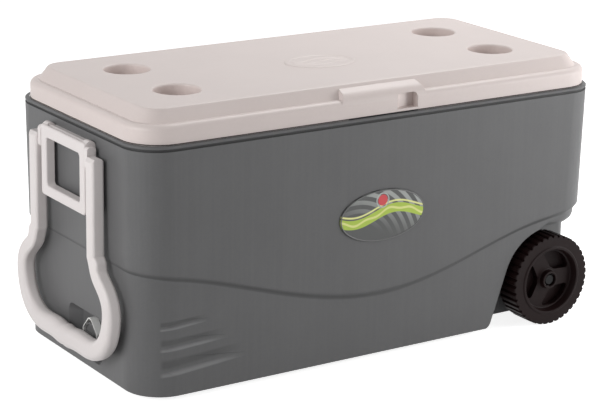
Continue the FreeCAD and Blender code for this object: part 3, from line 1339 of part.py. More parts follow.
def lift_clearance(tag, end):
    """The room behind the top bar for the bracket's plate, barrel and screw heads."""
    inner = amount("lift_half_width - knuckle_width")
    back = "lift_x + lift_front - lift_top_depth"
    low_x = f"0 - ({back})" if end < 0 else "lift_x - lift_out"
    return block(f"{tag}_clearance", low_x, f"0 - {inner}", "lift_z - lift_top_drop - 0.01",
                 "lift_out + lift_front - lift_top_depth", f"2 * {inner}",
                 "lift_top_drop + lift_top_rise + 2")


def ear(side):
    """One ear beside the top of the lift handle, with a slanted lower end."""
    tag = "front" if side < 0 else "back"
    x, z = -amount("lift_x"), amount("lift_z")
    front, depth = amount("lift_front"), amount("lift_bar_depth")
    drop = amount("ear_drop")
    edges = outline([(x - front, z - drop + 10, 4), (x - front + depth, z - drop, 3),
                     (x - front + depth, z + 1, 3), (x - front, z + 2, 6)])
    start = "lift_half_width" if side < 0 else "0 - lift_half_width - ear_width"
    return profile_body(f"ear_{tag}", "XZ_Plane", edges, "ear_width", ("0", "0", start))


def tow_pin(name, side, play):
    """A pivot pin between an ear and a tow handle arm."""
    inner = "lift_half_width - 4"
    start = f"0 - ({inner}) - ear_width - arm_width + 2" if side < 0 else inner
    return rod(name, f"tow_pin_radius + {play}", "ear_width + arm_width - 2", "y",
               "0 - tow_x", start, "tow_z")


# ---- tow handle -----------------------------------------------------------------------

def loop_section(y, z, slope, width, depth, roundness):
    """One section of the tow handle: a rounded box across the path, width in the plane of
    the handle and depth front to back, turned by the path's slope."""
    w, d = width / 2, depth / 2
    r = min(w, d) * roundness
    wire = Part.Wire(Part.__sortEdges__([e.toShape() for e in outline(
        [(-w, -d, r), (w, -d, r), (w, d, r), (-w, d, r)])]))
    along = vector(0, math.cos(slope), math.sin(slope))
    across = vector(0, -math.sin(slope), math.cos(slope))
    out = vector(-1, 0)
    turn = FreeCAD.Matrix(across.x, out.x, along.x, 0, across.y, out.y, along.y, 0,
                          across.z, out.z, along.z, 0, 0, 0, 0, 1)
    wire.transformShape(turn)
    wire.translate(vector(-amount("tow_x"), y, z))
    return wire


def loop_path():
    """Points on the front half of the tow handle's middle line, from the pivot down the
    arm, out round the loop and in to the middle of the grip, each with its direction."""
    base = amount("ground_gap")
    arm, half = amount("arm_y"), amount("loop_half")
    grip = base + amount("grip_middle")
    corners = [vector(0, -arm, amount("tow_z")), vector(0, -arm, base + amount("flare_top")),
               vector(0, -half, base + amount("flare_bottom")), vector(0, -half, grip + 2),
               vector(0, 0, grip)]
    rounds = (amount("flare_round"), amount("shoulder_round"), amount("loop_round"))
    edges, last = [], corners[0]
    for i, radius in enumerate(rounds, 1):
        start, middle, end = round_corner(*corners[i - 1:i + 2], radius)
        edges += [Part.LineSegment(last, start).toShape(), Part.Arc(start, middle, end).toShape()]
        last = end
    edges.append(Part.LineSegment(last, corners[-1]).toShape())
    path = Part.Wire(edges)
    points = path.discretize(Number=LOOP_STEPS)
    slopes = []
    for i, point in enumerate(points):
        step = points[min(i + 1, len(points) - 1)] - points[max(i - 1, 0)]
        slopes.append(math.atan2(step.z, step.y))
    slopes[0], slopes[-1] = -math.pi / 2, 0.0
    return points, slopes


def arm_chamfer(end):
    """The wedge that bevels the front or the back of a tow handle arm's flat top."""
    take, wide = amount("arm_chamfer"), amount("arm_width")
    spot = vector(-amount("tow_x") + end * amount("arm_depth") / 2, -amount("arm_y") - wide,
                  amount("tow_z + arm_depth / 2"))
    points = [spot + vector(-end * take, 0, 0), spot + vector(0, 0, -take),
              spot + vector(end * take, 0, take)]
    return Part.Face(Part.makePolygon(points + points[:1])).extrude(vector(0, 2 * wide))


def tow_handle():
    """The tow handle: two arms beside the lift handle that flare into a wide loop with a
    thick round grip."""
    points, slopes = loop_path()
    narrow, deep = amount("arm_width"), amount("arm_depth")
    grip_tall, grip_deep = amount("grip_height"), amount("grip_depth")
    flare = amount("ground_gap + flare_top")
    first = max(i for i, point in enumerate(points) if point.z > flare)
    sections = []
    for i in [0] + list(range(first, len(points))):
        share = max(0.0, (i - first) / (len(points) - 1 - first))
        share = share * share * (3 - 2 * share)
        above = deep / 2 if i == 0 else 0
        sections.append(loop_section(points[i].y, points[i].z + above, slopes[i],
                                     narrow + share * (grip_tall - narrow),
                                     deep + share * (grip_deep - deep), 0.45 + 0.5 * share))
    arm = Part.makeLoft(sections[:2], True, True)
    loop = Part.makeLoft(sections[1:], True, False)
    half = arm.fuse(loop).cut(Part.makeCompound([arm_chamfer(end) for end in (-1, 1)]))
    other = half.mirror(vector(0, 0), vector(0, 1))
    reach, inner = amount("arm_width - 5"), amount("arm_y - arm_width / 2")
    bores = [Part.makeCylinder(amount("tow_pin_radius + running_play"), reach,
                               vector(-amount("tow_x"), side * inner, amount("tow_z")),
                               vector(0, side)) for side in (-1, 1)]
    publish_shape("tow_handle", half.fuse(other).removeSplitter().cut(Part.makeCompound(bores)))


def tow_pins():
    """The two pins on which the tow handle turns, fast in the ears."""
    for side, tag in ((-1, "front"), (1, "back")):
        inner = "lift_half_width - 4"
        length = "ear_width + arm_width - 2"
        start = f"0 - ({inner}) - ({length})" if side < 0 else inner
        publish(rod(f"tow_pin_{tag}_rod", "tow_pin_radius", length, "y", "0", "0", "0"),
                f"tow_pin_{tag}", "0 - tow_x", start, "tow_z")


# ---- build and write ------------------------------------------------------------------

def check(item):
    if {"Invalid", "Error"} & set(item.State):
        raise RuntimeError(f"{item.Label} did not build: {item.State}")


def main():
    fill_sheet()
    publish(outer_shell(), "outer_shell")
    liner_and_foam()
    drain_parts()
    badge()
    for side in (-1, 1):
        wheel(side)
        hinge_parts(side)
    axle_parts()
    lid_parts()
    screws()
    for end in (-1, 1):
        lift_bracket(end)
        lift_handle(end)
    tow_pins()
    tow_handle()
    doc.recompute()
    for item in doc.Objects:
        check(item)
    for item in published:
        if item.Shape.isNull() or not item.Shape.isValid():
            raise RuntimeError(f"{item.Label} has no sound shape")
    os.makedirs("parts", exist_ok=True)
    for item in published:
        item.Shape.exportStep(f"parts/{item.Label}.step")
        print(item.Label, len(item.Shape.Solids), round(item.Shape.Volume / 1000, 1))


main()
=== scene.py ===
import json
import math

import bmesh
import bpy
import numpy as np
from bpy.props import FloatProperty, FloatVectorProperty, PointerProperty
from mathutils import Matrix, Vector

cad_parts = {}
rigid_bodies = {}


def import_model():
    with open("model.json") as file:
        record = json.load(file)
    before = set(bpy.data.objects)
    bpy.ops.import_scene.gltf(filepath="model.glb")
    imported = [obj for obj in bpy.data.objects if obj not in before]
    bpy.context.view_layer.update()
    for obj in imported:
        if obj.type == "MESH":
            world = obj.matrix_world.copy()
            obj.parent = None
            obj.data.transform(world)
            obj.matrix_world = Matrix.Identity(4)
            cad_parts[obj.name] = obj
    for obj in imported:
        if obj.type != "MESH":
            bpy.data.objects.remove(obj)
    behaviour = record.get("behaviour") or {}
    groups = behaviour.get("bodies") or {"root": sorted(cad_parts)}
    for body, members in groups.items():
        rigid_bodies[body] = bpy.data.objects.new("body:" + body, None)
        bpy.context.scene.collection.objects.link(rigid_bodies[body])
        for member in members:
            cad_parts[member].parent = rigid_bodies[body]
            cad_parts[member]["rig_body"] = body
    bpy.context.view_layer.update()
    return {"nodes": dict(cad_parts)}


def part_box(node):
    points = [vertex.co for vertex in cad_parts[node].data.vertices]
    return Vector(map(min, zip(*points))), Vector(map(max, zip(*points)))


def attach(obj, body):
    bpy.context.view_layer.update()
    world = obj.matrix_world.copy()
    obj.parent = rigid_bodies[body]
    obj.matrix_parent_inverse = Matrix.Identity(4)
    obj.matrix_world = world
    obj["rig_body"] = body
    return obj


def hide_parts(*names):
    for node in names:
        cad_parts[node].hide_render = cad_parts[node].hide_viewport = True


bl_info = {
    "name": "Wheeled Cooler",
    "version": (1, 0, 0),
    "blender": (4, 5, 0),
    "location": "View3D > Sidebar > Cooler",
    "description": "Dresses the packed parts of a wheeled cooler and lays out its studio",
    "category": "Add Mesh",
}

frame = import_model()

# Sizes of the box in metres: its middle, half sizes at the rim, underside and height.
MIDDLE = np.array((0.00425, -0.0011, 0.0))
HALF_LONG, HALF_WIDE, BASE, BOX_TALL = 0.450, 0.218, 0.009, 0.407
# From the rim to the underside the ends and the sides lean in by the drafts. The round
# corners are RIM_CORNER at the rim and larger by CORNER_GROWTH at the underside.
END_DRAFT, SIDE_DRAFT, RIM_CORNER, CORNER_GROWTH = 0.005, 0.0015, 0.060, 0.006
# Scoops on the box's front, which get painted shade and a painted highlight on their lip.
# Each scoop: blunt end, length, lower edge there, lower edge at the tip, and height.
SCOOPS = ((-0.40775, 0.088, 0.119, 0.125, 0.015), (-0.40775, 0.124, 0.084, 0.091, 0.021),
          (-0.40775, 0.160, 0.042, 0.055, 0.029))
# The crease's height at even steps along the box, from the tow end to the wheel end.
CREASE_X = np.linspace(-HALF_LONG, HALF_LONG, 33)
CREASE_Z = np.array((
    215.76, 212.95, 208.63, 202.98, 196.20, 188.52, 180.21, 171.54, 162.81, 154.31, 146.31,
    139.08, 132.80, 127.64, 123.76, 121.33, 120.55, 121.60, 124.52, 129.07, 135.00, 142.05,
    149.96, 158.45, 167.10, 175.40, 182.86, 188.99, 193.71, 197.54, 200.99, 204.48,
    208.16)) / 1000
# The height that the wall is measured at for the crease, how far it steps in below the
# crease at the tow end, the wheel end and the sides, and how much deeper the strip's back is.
CREASE_LEVEL, CREASE_STEPS, CREASE_BACK = 0.170, (0.001, 0.006, 0.004), 0.001
# Heights of the shadow groove under the rim bead, and how far its dark paint fades out.
GROOVE, GROOVE_BLUR = (0.4076, 0.4106), 0.0006
# The dark strip round the lid's foot is painted shade in the seam over the rim bead: its
# heights, its plan's half sizes and corner, where its middle lies from the box's, and how far
# its face and its back lie outside that plan.
SEAM_SHADE_HEIGHTS, SEAM_SHADE_PLAN, SEAM_SHADE_OFFSET = (0.41632, 0.4184), (0.446, 0.2105, 0.062), (0.0, -0.0025)
SEAM_SHADE_FACE_AND_BACK = (0.0006, -0.0010)
# The ring round the badge: half its bar's thickness, how far the bar's middle lies inside
# the badge's edge, and how far behind its front.
BEZEL_THICK, BEZEL_INSET, BEZEL_SINK = 0.0011, 0.0010, 0.0004
# The emblem on the lid: its middle in plan, its half sizes, how high its field stands over
# the lid, and how much higher its rim and ribs.
EMBLEM_MIDDLE, EMBLEM_HALF = (0.003, -0.027), (0.0655, 0.046)
EMBLEM_FIELD, EMBLEM_RELIEF = 0.0003, 0.0007
WELD = 2e-6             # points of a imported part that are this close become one
FLAT_WEIGHT = 85        # over 50, the larger faces lead in the shading
SHARP, BOX_SHARP, RING_SHARP = 32.0, 14.0, 40.0   # edges over these degrees stay sharp
FILM_WIDTH = 36.0       # millimetres: lens lengths are those of a full-frame camera
# The studio floor: half its side, how far it lies under the wheels, and its grey.
FLOOR_HALF, FLOOR_DROP, FLOOR_GREY = 6.0, 0.0004, (0.72, 0.72, 0.72, 1.0)


# ---- settings that a user would change ------------------------------------------------

def colour(name, description, value):
    return FloatVectorProperty(name=name, description=description, default=value, size=3,
                               min=0.0, max=1.0, subtype="COLOR")


def length(name, description, value):
    return FloatProperty(name=name, description=description, default=value, min=0.0,
                         unit="LENGTH", subtype="DISTANCE", precision=4)


def portion(name, description, value):
    return FloatProperty(name=name, description=description, default=value, min=0.0, max=1.0,
                         subtype="FACTOR")


class CoolerColours(bpy.types.PropertyGroup):
    """Linear colours of the cooler's plastics and metals."""
    body: colour("Box", "Outer box", (0.121, 0.121, 0.123))
    lid: colour("Lid", "Lid shell", (0.70, 0.615, 0.59))
    handle: colour("Handles", "Lift handles, tow handle and brackets", (0.76, 0.71, 0.70))
    liner: colour("Liners", "Liners of the box and the lid", (0.80, 0.79, 0.77))
    wheel: colour("Wheels", "Moulded wheels", (0.0080, 0.0030, 0.0030))
    drain: colour("Drain", "Drain spigot, nut and cap", (0.14, 0.14, 0.141))
    # Its lid seal is the dark strip round the lid's foot, which is painted shade in the seam.
    rubber: colour("Rubber", "Drain gasket and lid seal", (0.012, 0.012, 0.012))
    foam: colour("Foam", "Insulating foam", (0.80, 0.68, 0.40))
    steel: colour("Steel", "Axle, washers, pins and screws", (0.56, 0.56, 0.57))
    tether: colour("Strap", "Strap over the drain cap", (0.86, 0.86, 0.84))
    bezel: colour("Bezel", "Ring round the badge", (0.12, 0.12, 0.12))
    charcoal: colour("Badge ground", "Ground of the oval badge", (0.035, 0.037, 0.036))
    silver: colour("Badge silver", "Ripples on the badge", (0.42, 0.44, 0.42))
    lime: colour("Badge lime", "Swell across the badge", (0.40, 0.55, 0.03))
    straw: colour("Badge straw", "Thin line over the swell", (0.80, 0.80, 0.30))
    red: colour("Badge red", "Disc on the badge", (0.62, 0.02, 0.03))


class CoolerFinish(bpy.types.PropertyGroup):
    """Sizes of the small rounds and of the grain in the plastic."""
    shell_edge: length("Box edge", "Round on the box's sharp edges", 0.0012)
    lid_edge: length("Lid edge", "Round on the lid's sharp edges", 0.0010)
    handle_edge: length("Handle edge", "Round on the handles' sharp edges", 0.0012)
    small_edge: length("Small edge", "Round on small parts", 0.0004)
    grain: length("Grain", "Width of the pebbles in the moulded grain", 0.0014)
    body_rough: portion("Box roughness", "Roughness of the box", 0.46)
    lid_rough: portion("Lid roughness", "Roughness of the lid", 0.42)


class CoolerStage(bpy.types.PropertyGroup):
    """Camera, lamps and floor."""
    azimuth: FloatProperty(name="Azimuth", description="Camera's turn about the cooler",
                           default=math.radians(-33.70), subtype="ANGLE")
    elevation: FloatProperty(name="Elevation", description="Camera's height angle",
                             default=math.radians(16.03), subtype="ANGLE")
    roll: FloatProperty(name="Roll", description="Camera's tilt about its own axis",
                        default=math.radians(1.11), subtype="ANGLE")
    distance: length("Distance", "From the camera to the middle of the cooler", 3.611)
    height: length("Aim height", "Height of the point that the camera faces", 0.239)
    lens: FloatProperty(name="Lens", description="Focal length in millimetres on a 36 mm film",
                        default=126.7, min=10.0)
    shift_x: FloatProperty(name="Shift X", description="Sideways lens shift", default=-0.0167)
    shift_y: FloatProperty(name="Shift Y", description="Upright lens shift", default=-0.0293)
    ambient: FloatProperty(name="Ambient", description="Strength of the even light",
                           default=0.34, min=0.0)
    key: FloatProperty(name="Key lamp", description="Power of the lamp at the tow end",
                       default=22.0, min=0.0, unit="POWER")
    fill: FloatProperty(name="Fill lamp", description="Power of the lamp at the wheel end",
                        default=20.0, min=0.0, unit="POWER")
    top: FloatProperty(name="Top lamp", description="Power of the overhead lamp",
                       default=17.0, min=0.0, unit="POWER")
    glow: portion("Floor glow", "Whiteness that the floor shows to the camera only", 0.85)


# ---- shader maths ---------------------------------------------------------------------

class Wire:
    """A number in a shader. Python's operators on it add Math nodes."""

    def __init__(self, shader, socket):
        self.shader, self.socket = shader, socket

    def math(self, operation, *values):
        return self.shader.node("Math", {"operation": operation}, values)

    def __add__(self, other):
        return self.math("ADD", self, other)

    __radd__ = __add__

    def __sub__(self, other):
        return self.math("SUBTRACT", self, other)

    def __rsub__(self, other):
        return self.math("SUBTRACT", other, self)

    def __mul__(self, other):
        return self.math("MULTIPLY", self, other)

    __rmul__ = __mul__

    def __truediv__(self, other):
        return self.math("DIVIDE", self, other)

    def __rtruediv__(self, other):
        return self.math("DIVIDE", other, self)

    def __pow__(self, other):
        return self.math("POWER", self, other)

    def __abs__(self):
        return self.math("ABSOLUTE", self)

    def sine(self):
        return self.math("SINE", self)

    def most(self, other):
        return self.math("MAXIMUM", self, other)

    def step(self, start, end):
        """0 before start and 1 after end, with a smooth rise between them."""
        return self.shader.node("MapRange", {"interpolation_type": "SMOOTHSTEP"},
                                {"Value": self, "From Min": start, "From Max": end})


class Shader:
    """A material, or the world, whose nodes are made here."""

    def __init__(self, name, world=None):
        self.material = world or bpy.data.materials.new(name)
        self.material.use_nodes = True
        self.tree = self.material.node_tree
        self.tree.nodes.clear()

    def node(self, kind, settings=None, values=(), output=0):
        """Adds one node. Settings are set first, then sockets by number or by name."""
        made = self.tree.nodes.new("ShaderNode" + kind)
        for key, value in (settings or {}).items():
            setattr(made, key, value)
        pairs = values.items() if isinstance(values, dict) else enumerate(values)
        for key, value in pairs:
            if isinstance(value, Wire):
                self.tree.links.new(value.socket, made.inputs[key])
            elif value is not None:
                made.inputs[key].default_value = value
        return Wire(self, made.outputs[output]) if made.outputs else None

    def seen(self):
        """1 for the rays that show the surroundings and 0 for those that light the cooler."""
        outputs = self.node("LightPath").socket.node.outputs
        camera, glossy, through = (Wire(self, outputs[f"Is {kind} Ray"])
                                   for kind in ("Camera", "Glossy", "Transmission"))
        return camera.most(glossy).most(through)

    def place(self):
        return self.node("TexCoord", output="Object")

    def axes(self):
        split = self.node("SeparateXYZ", values=[self.place()])
        outputs = split.socket.node.outputs
        return [Wire(self, outputs[i]) for i in range(3)]

    def noise(self, size, detail=2.0, roughness=0.5, stretch=(1, 1, 1)):
        """Noise from 0 to 1 whose blobs are about size metres wide."""
        spot = self.place()
        if stretch != (1, 1, 1):
            spot = self.node("Mapping", values={"Vector": spot, "Scale": stretch})
        return self.node("TexNoise", values={"Vector": spot, "Scale": 1.0 / size,
                                             "Detail": detail, "Roughness": roughness})

    def cells(self, size):
        """0 at the middle of each cell about size metres wide, rising to its edge."""
        return self.node("TexVoronoi", values={"Vector": self.place(), "Scale": 1.0 / size},
                         output="Distance")

    def blend(self, share, first, second):
        """The first colour where share is 0, the second where it is 1."""
        shades = [c if isinstance(c, Wire) else (*c, 1.0) for c in (first, second)]
        return self.node("Mix", {"data_type": "RGBA"}, {0: share, 6: shades[0], 7: shades[1]},
                         output=2)

    def bump(self, height, depth, strength=1.0, edge=None):
        """A normal for a height from 0 to 1 that stands for depth metres."""
        start = None
        if edge:
            start = self.node("Bevel", {"samples": 4}, {"Radius": edge})
        return self.node("Bump", values={"Strength": strength, "Distance": depth,
                                         "Height": height, "Normal": start})

    def surface(self, **values):
        """The Principled surface. Names use _ for a space."""
        named = {key.replace("_", " "): value for key, value in values.items()}
        named = {("Specular IOR Level" if k == "Specular" else k): v for k, v in named.items()}
        named = {k: ((*v, 1.0) if isinstance(v, tuple) and len(v) == 3 else v)
                 for k, v in named.items()}
        made = self.node("BsdfPrincipled", values=named)
        self.node("OutputMaterial", values={"Surface": made})
        return self.material


def tint(base, factor):
    return tuple(min(1.0, channel * factor) for channel in base)


def moulded(name, base, rough, grain, depth, mottle=0.05, specular=0.5, edge=0.0008,
            streaks=0.0, groove=None, fade=None, scoops=()):
    """Moulded plastic: pebbled grain, a cloudy tone, faint rubbed patches and, with streaks,
    the fine upright drag lines that a mould leaves. Depth is the grain's, in metres, and edge
    is a round on sharp edges. The rest is painted shade and painted highlight, because soft
    light leaves these shapes nearly flat: a groove painted dark as shade between two heights,
    fade, which names an attribute that is 0 and 1 at the edges of a strip painted dark as shade
    between them, and scoops, with painted shade in their upper part and a painted highlight
    along their lower lip."""
    shader = Shader(name)
    cloud = shader.noise(0.11, 3.0, 0.6)
    speck = shader.noise(0.004, 2.0, 0.6)
    pebbles = shader.noise(grain, 2.0, 0.55)
    rub = shader.noise(0.03, 4.0, 0.7, stretch=(1, 1, 0.35)).step(0.55, 0.8)
    tone = cloud * 0.6 + speck * 0.4
    shade = shader.blend(tone.step(0.25, 0.75), tint(base, 1 - mottle), tint(base, 1 + mottle))
    height = pebbles
    if streaks:
        lines = shader.noise(0.006, 2.0, 0.5, stretch=(1, 1, 0.02))
        shade = shader.blend(lines.step(0.35, 0.7) * streaks, shade, tint(base, 1.35))
        height = pebbles * 0.8 + lines * 0.2
    # Painted shade in the groove under the rim bead, between two heights.
    if groove:
        low, high = groove
        _, _, z = shader.axes()
        dark = (z.step(low - GROOVE_BLUR, low)
                * (1.0 - z.step(high, high + GROOVE_BLUR)))
        shade = shader.blend(dark * 0.75, shade, tint(base, 0.12))
    # Painted shade in each scoop's upper part and a painted highlight along its lower lip.
    for hollow in scoops:
        dark, lip = scoop_masks(shader, *hollow)
        shade = shader.blend(dark * 0.45, shade, tint(base, 0.35))
        shade = shader.blend(lip * 0.75, shade, tint(base, 1.9))
    # Painted shade along the middle of a strip, read from the fade attribute.
    if fade:
        share = shader.node("Attribute", {"attribute_name": fade}, output="Fac")
        dark = share.step(0.0, 0.4) * (1.0 - share.step(0.4, 0.9))
        shade = shader.blend(dark * 0.5, shade, tint(base, 0.30))
    roughness = rough + (speck - 0.5) * 0.10 + rub * 0.07
    return shader.surface(Base_Color=shade, Roughness=roughness, Specular=specular,
                          Normal=shader.bump(height, depth, edge=edge))


def scoop_masks(shader, start, length, low, tip_low, tall):
    """Where a scoop is painted dark and where its lip is painted light. The first number runs
    along the scoop from its blunt end, and the second up from its lower edge, which climbs.
    The dark part's upper end stays above 0.8, or it would cover the wall over the tip."""
    x, _, z = shader.axes()
    along = (x - start) / length
    up = (z - low - along * (tip_low - low)) / tall
    reach = along.step(0.0, 0.05) * (1.0 - along.step(0.55, 1.0))
    dark = up.step(0.35, 0.6) * (1.0 - up.step(0.8, 1.1 - 0.2 * along))
    lip = up.step(-0.05, 0.06) * (1.0 - up.step(0.10, 0.32))
    return dark * reach, lip * reach


def steel(name, base, rough=0.30):
    """Turned steel: fine scratches round the part and slightly dull patches."""
    shader = Shader(name)
    scratch = shader.noise(0.0006, 3.0, 0.6, stretch=(1, 0.08, 1))
    dull = shader.noise(0.012, 3.0, 0.6)
    shade = shader.blend(dull.step(0.3, 0.7), tint(base, 0.86), tint(base, 1.08))
    return shader.surface(Base_Color=shade, Metallic=1.0,
                          Roughness=rough + (dull - 0.5) * 0.15 + (scratch - 0.5) * 0.08,
                          Normal=shader.bump(scratch, 0.00003, strength=0.6, edge=0.0003))


def foam(name, base):
    """Poured foam with open cells and a yellower skin in places."""
    shader = Shader(name)
    cells = shader.cells(0.0022)
    patch = shader.noise(0.05, 3.0, 0.6)
    shade = shader.blend(patch.step(0.3, 0.7), tint(base, 0.85), tint(base, 1.1))
    # Painted shade in the cells: their middles, which the bump sinks, are darker than their
    # rims.
    shade = shader.blend(cells.step(0.0, 0.6) * 0.35, tint(base, 0.7), shade)
    return shader.surface(Base_Color=shade, Roughness=0.85 + (patch - 0.5) * 0.1,
                          Specular=0.2, Normal=shader.bump(cells, 0.0008))


def badge_print(name, box, colours):
    """Printed badge under a clear coat: silver ripples on charcoal, a lime swell with a straw
    line over it, and a red disc. Lengths are shares of the oval's half height."""
    shader = Shader(name)
    low, high = box
    middle = (low + high) / 2
    half = (high.z - low.z) / 2
    x, _, z = shader.axes()
    across = (x - middle.x) / half
    up = (z - middle.z) / half
    reach = ((across + 1.25) ** 2.0 + (up + 1.5) ** 2.0) ** 0.5
    ripple = abs((reach * 9.5).sine()).step(0.62, 0.80)
    fade = (up * 0.45 + 0.35 + across * 0.16).step(0.0, 0.8)
    swell = up - ((across * 1.7 + 0.6).sine() * 0.22 - 0.18)
    lime = swell.step(0.0, 0.03) * (1.0 - swell.step(0.36, 0.39))
    line = (1.0 - abs(swell - 0.47).step(0.02, 0.05))
    crest = (1.0 - abs(swell - 0.20 - (across * 6.0).sine() * 0.05).step(0.03, 0.06))
    disc = ((across + 0.02) ** 2.0 + (up - 0.60) ** 2.0) ** 0.5
    sun = 1.0 - disc.step(0.20, 0.23)
    halo = 1.0 - abs(disc - 0.275).step(0.014, 0.034)
    shade = shader.blend(ripple * fade * 0.75, colours.charcoal[:], colours.silver[:])
    shade = shader.blend(line, shade, colours.straw[:])
    shade = shader.blend(lime, shade, colours.lime[:])
    shade = shader.blend(crest * lime * 0.8, shade, colours.straw[:])
    shade = shader.blend(sun, shade, colours.red[:])
    shade = shader.blend(halo, shade, colours.silver[:])
    dust = shader.noise(0.002, 2.0, 0.5)
    return shader.surface(Base_Color=shade, Roughness=0.30 + (dust - 0.5) * 0.08,
                          Coat_Weight=0.35 + (dust - 0.5) * 0.1, Coat_Roughness=0.12,
                          Normal=shader.bump(lime + sun, 0.00008, strength=0.5))


# ---- meshes ---------------------------------------------------------------------------

def body_of(node):
    return frame["nodes"][node]["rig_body"]


def dress(material, *nodes):
    """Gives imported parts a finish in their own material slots."""
    for node in nodes:
        item = frame["nodes"][node]
        if not item.material_slots:
            item.data.materials.append(material)
        for place in item.material_slots:
            place.material = material


def softened(node, name, material, angle=SHARP):
    """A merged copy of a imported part, smooth over its curves and sharp at its edges."""
    mesh = frame["nodes"][node].data.copy()
    mesh.name = name
    work = bmesh.new()
    work.from_mesh(mesh)
    bmesh.ops.remove_doubles(work, verts=work.verts, dist=WELD)
    work.to_mesh(mesh)
    work.free()
    if "custom_normal" in mesh.attributes:
        mesh.attributes.remove(mesh.attributes["custom_normal"])
    mesh.materials.clear()
    mesh.materials.append(material)
    mesh.shade_smooth()
    mesh.set_sharp_from_angle(angle=math.radians(angle))
    item = add_piece(name, mesh, body_of(node))
    even = item.modifiers.new("even shading", "WEIGHTED_NORMAL")
    even.keep_sharp, even.weight = True, FLAT_WEIGHT
    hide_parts(node)
    return item


def add_piece(name, mesh, body):
    item = bpy.data.objects.new(name, mesh)
    bpy.context.scene.collection.objects.link(item)
    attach(item, body)
    return item


def ring_piece(name, rings, material, body, loop=False):
    """An object from rings of points, given as rows x columns x 3. Each ring is closed, and
    the rings follow one another round a loop or end in flat caps."""
    rows, columns = rings.shape[:2]
    faces = grid_faces(rows, columns, loop).tolist()
    if not loop:
        faces += [list(range(columns)), list(range((rows - 1) * columns, rows * columns))]
    mesh = bpy.data.meshes.new(name)
    mesh.from_pydata(rings.reshape(-1, 3).tolist(), [], faces)
    work = bmesh.new()
    work.from_mesh(mesh)
    bmesh.ops.recalc_face_normals(work, faces=work.faces)
    work.to_mesh(mesh)
    work.free()
    mesh.shade_smooth()
    mesh.set_sharp_from_angle(angle=math.radians(RING_SHARP))
    mesh.materials.append(material)
    return add_piece(name, mesh, body)


def rounded_plan(half_x, half_y, corner, steps=24, side_steps=48):
    """A rectangle's outline with round corners, as columns x 2, from the middle of the +X
    side round by +Y. All outlines with the same steps match point by point."""
    turn = np.linspace(0.0, math.pi / 2, steps)
    quarter = corner * np.stack([np.cos(turn), np.sin(turn)], axis=1)
    corners = []
    for number, (sx, sy) in enumerate(((1, 1), (-1, 1), (-1, -1), (1, -1))):
        flip = quarter * (sx, sy)
        flip = flip if number % 2 == 0 else flip[::-1]
        corners.append(flip + (sx * (half_x - corner), sy * (half_y - corner)))
    points = []
    share = np.linspace(0.0, 1.0, side_steps, endpoint=False)[1:, None]
    for number, piece in enumerate(corners):
        after = corners[(number + 1) % 4]
        points += [piece, piece[-1] * (1 - share) + after[0] * share]
    return np.concatenate(points)


def wall_plan(height, tow_step, wheel_step, side_step):
    """The box wall's outline at a height over the floor: the rim's rectangle, drawn in by
    the walls' drafts and by a step on each end and on both sides."""
    fall = 1.0 - (height - BASE) / BOX_TALL
    points = rounded_plan(HALF_LONG - END_DRAFT * fall - (tow_step + wheel_step) / 2,
                          HALF_WIDE - SIDE_DRAFT * fall - side_step,
                          RIM_CORNER + CORNER_GROWTH * fall)
    return points + MIDDLE[:2] + ((tow_step - wheel_step) / 2, 0.0)


def crease_rings(height=0.010, rows=11):
    """Fills the step under the crease with a soft slope. At each place round the box the
    section starts on the upper wall at the crease and reaches the lower wall a little
    below it; it moves in by a smoothstep of the way down. Its back lies in the wall."""
    outer = wall_plan(CREASE_LEVEL, 0.0, 0.0, 0.0)
    inner = wall_plan(CREASE_LEVEL, *CREASE_STEPS)
    behind = wall_plan(CREASE_LEVEL, *(step + CREASE_BACK for step in CREASE_STEPS))
    top = np.interp(outer[:, 0] - MIDDLE[0], CREASE_X, CREASE_Z)
    rings = []
    for down in np.linspace(0.0, 1.0, rows):
        share = down * down * (3 - 2 * down)
        plan = outer * (1 - share) + inner * share
        rings.append(np.column_stack([plan, top - height * down]))
    for down in (1.0, 0.0):
        rings.append(np.column_stack([behind, top - height * down]))
    return np.stack(rings)


def band_rings(plan_out, plan_in, low, high):
    """A flat band round a plan between two heights, with a bulging face: the outer plan is
    reached half-way up."""
    rows = [(plan_in, low), (plan_out * 0.4 + plan_in * 0.6, low), (plan_out, (low + high) / 2),
            (plan_out * 0.4 + plan_in * 0.6, high), (plan_in, high)]
    return np.stack([np.column_stack([plan, np.full(len(plan), z)]) for plan, z in rows])


def oval_tube(middle, half_x, half_z, thick, count=96, sides=12):
    """A round bar bent to an upright oval: the bar's section turns about each point of the
    oval in the plane of the outward and the front-to-back direction."""
    turn = np.linspace(0, 2 * math.pi, count, endpoint=False)[:, None]
    around = np.linspace(0, 2 * math.pi, sides, endpoint=False)[None, :]
    out = np.array([np.cos(turn) / half_x, np.sin(turn) / half_z])
    out = out / np.sqrt((out ** 2).sum(axis=0))
    x = middle[0] + half_x * np.cos(turn) + thick * np.cos(around) * out[0]
    z = middle[2] + half_z * np.sin(turn) + thick * np.cos(around) * out[1]
    y = middle[1] + thick * np.sin(around) + 0 * x
    return np.stack([x, y, z], axis=2)


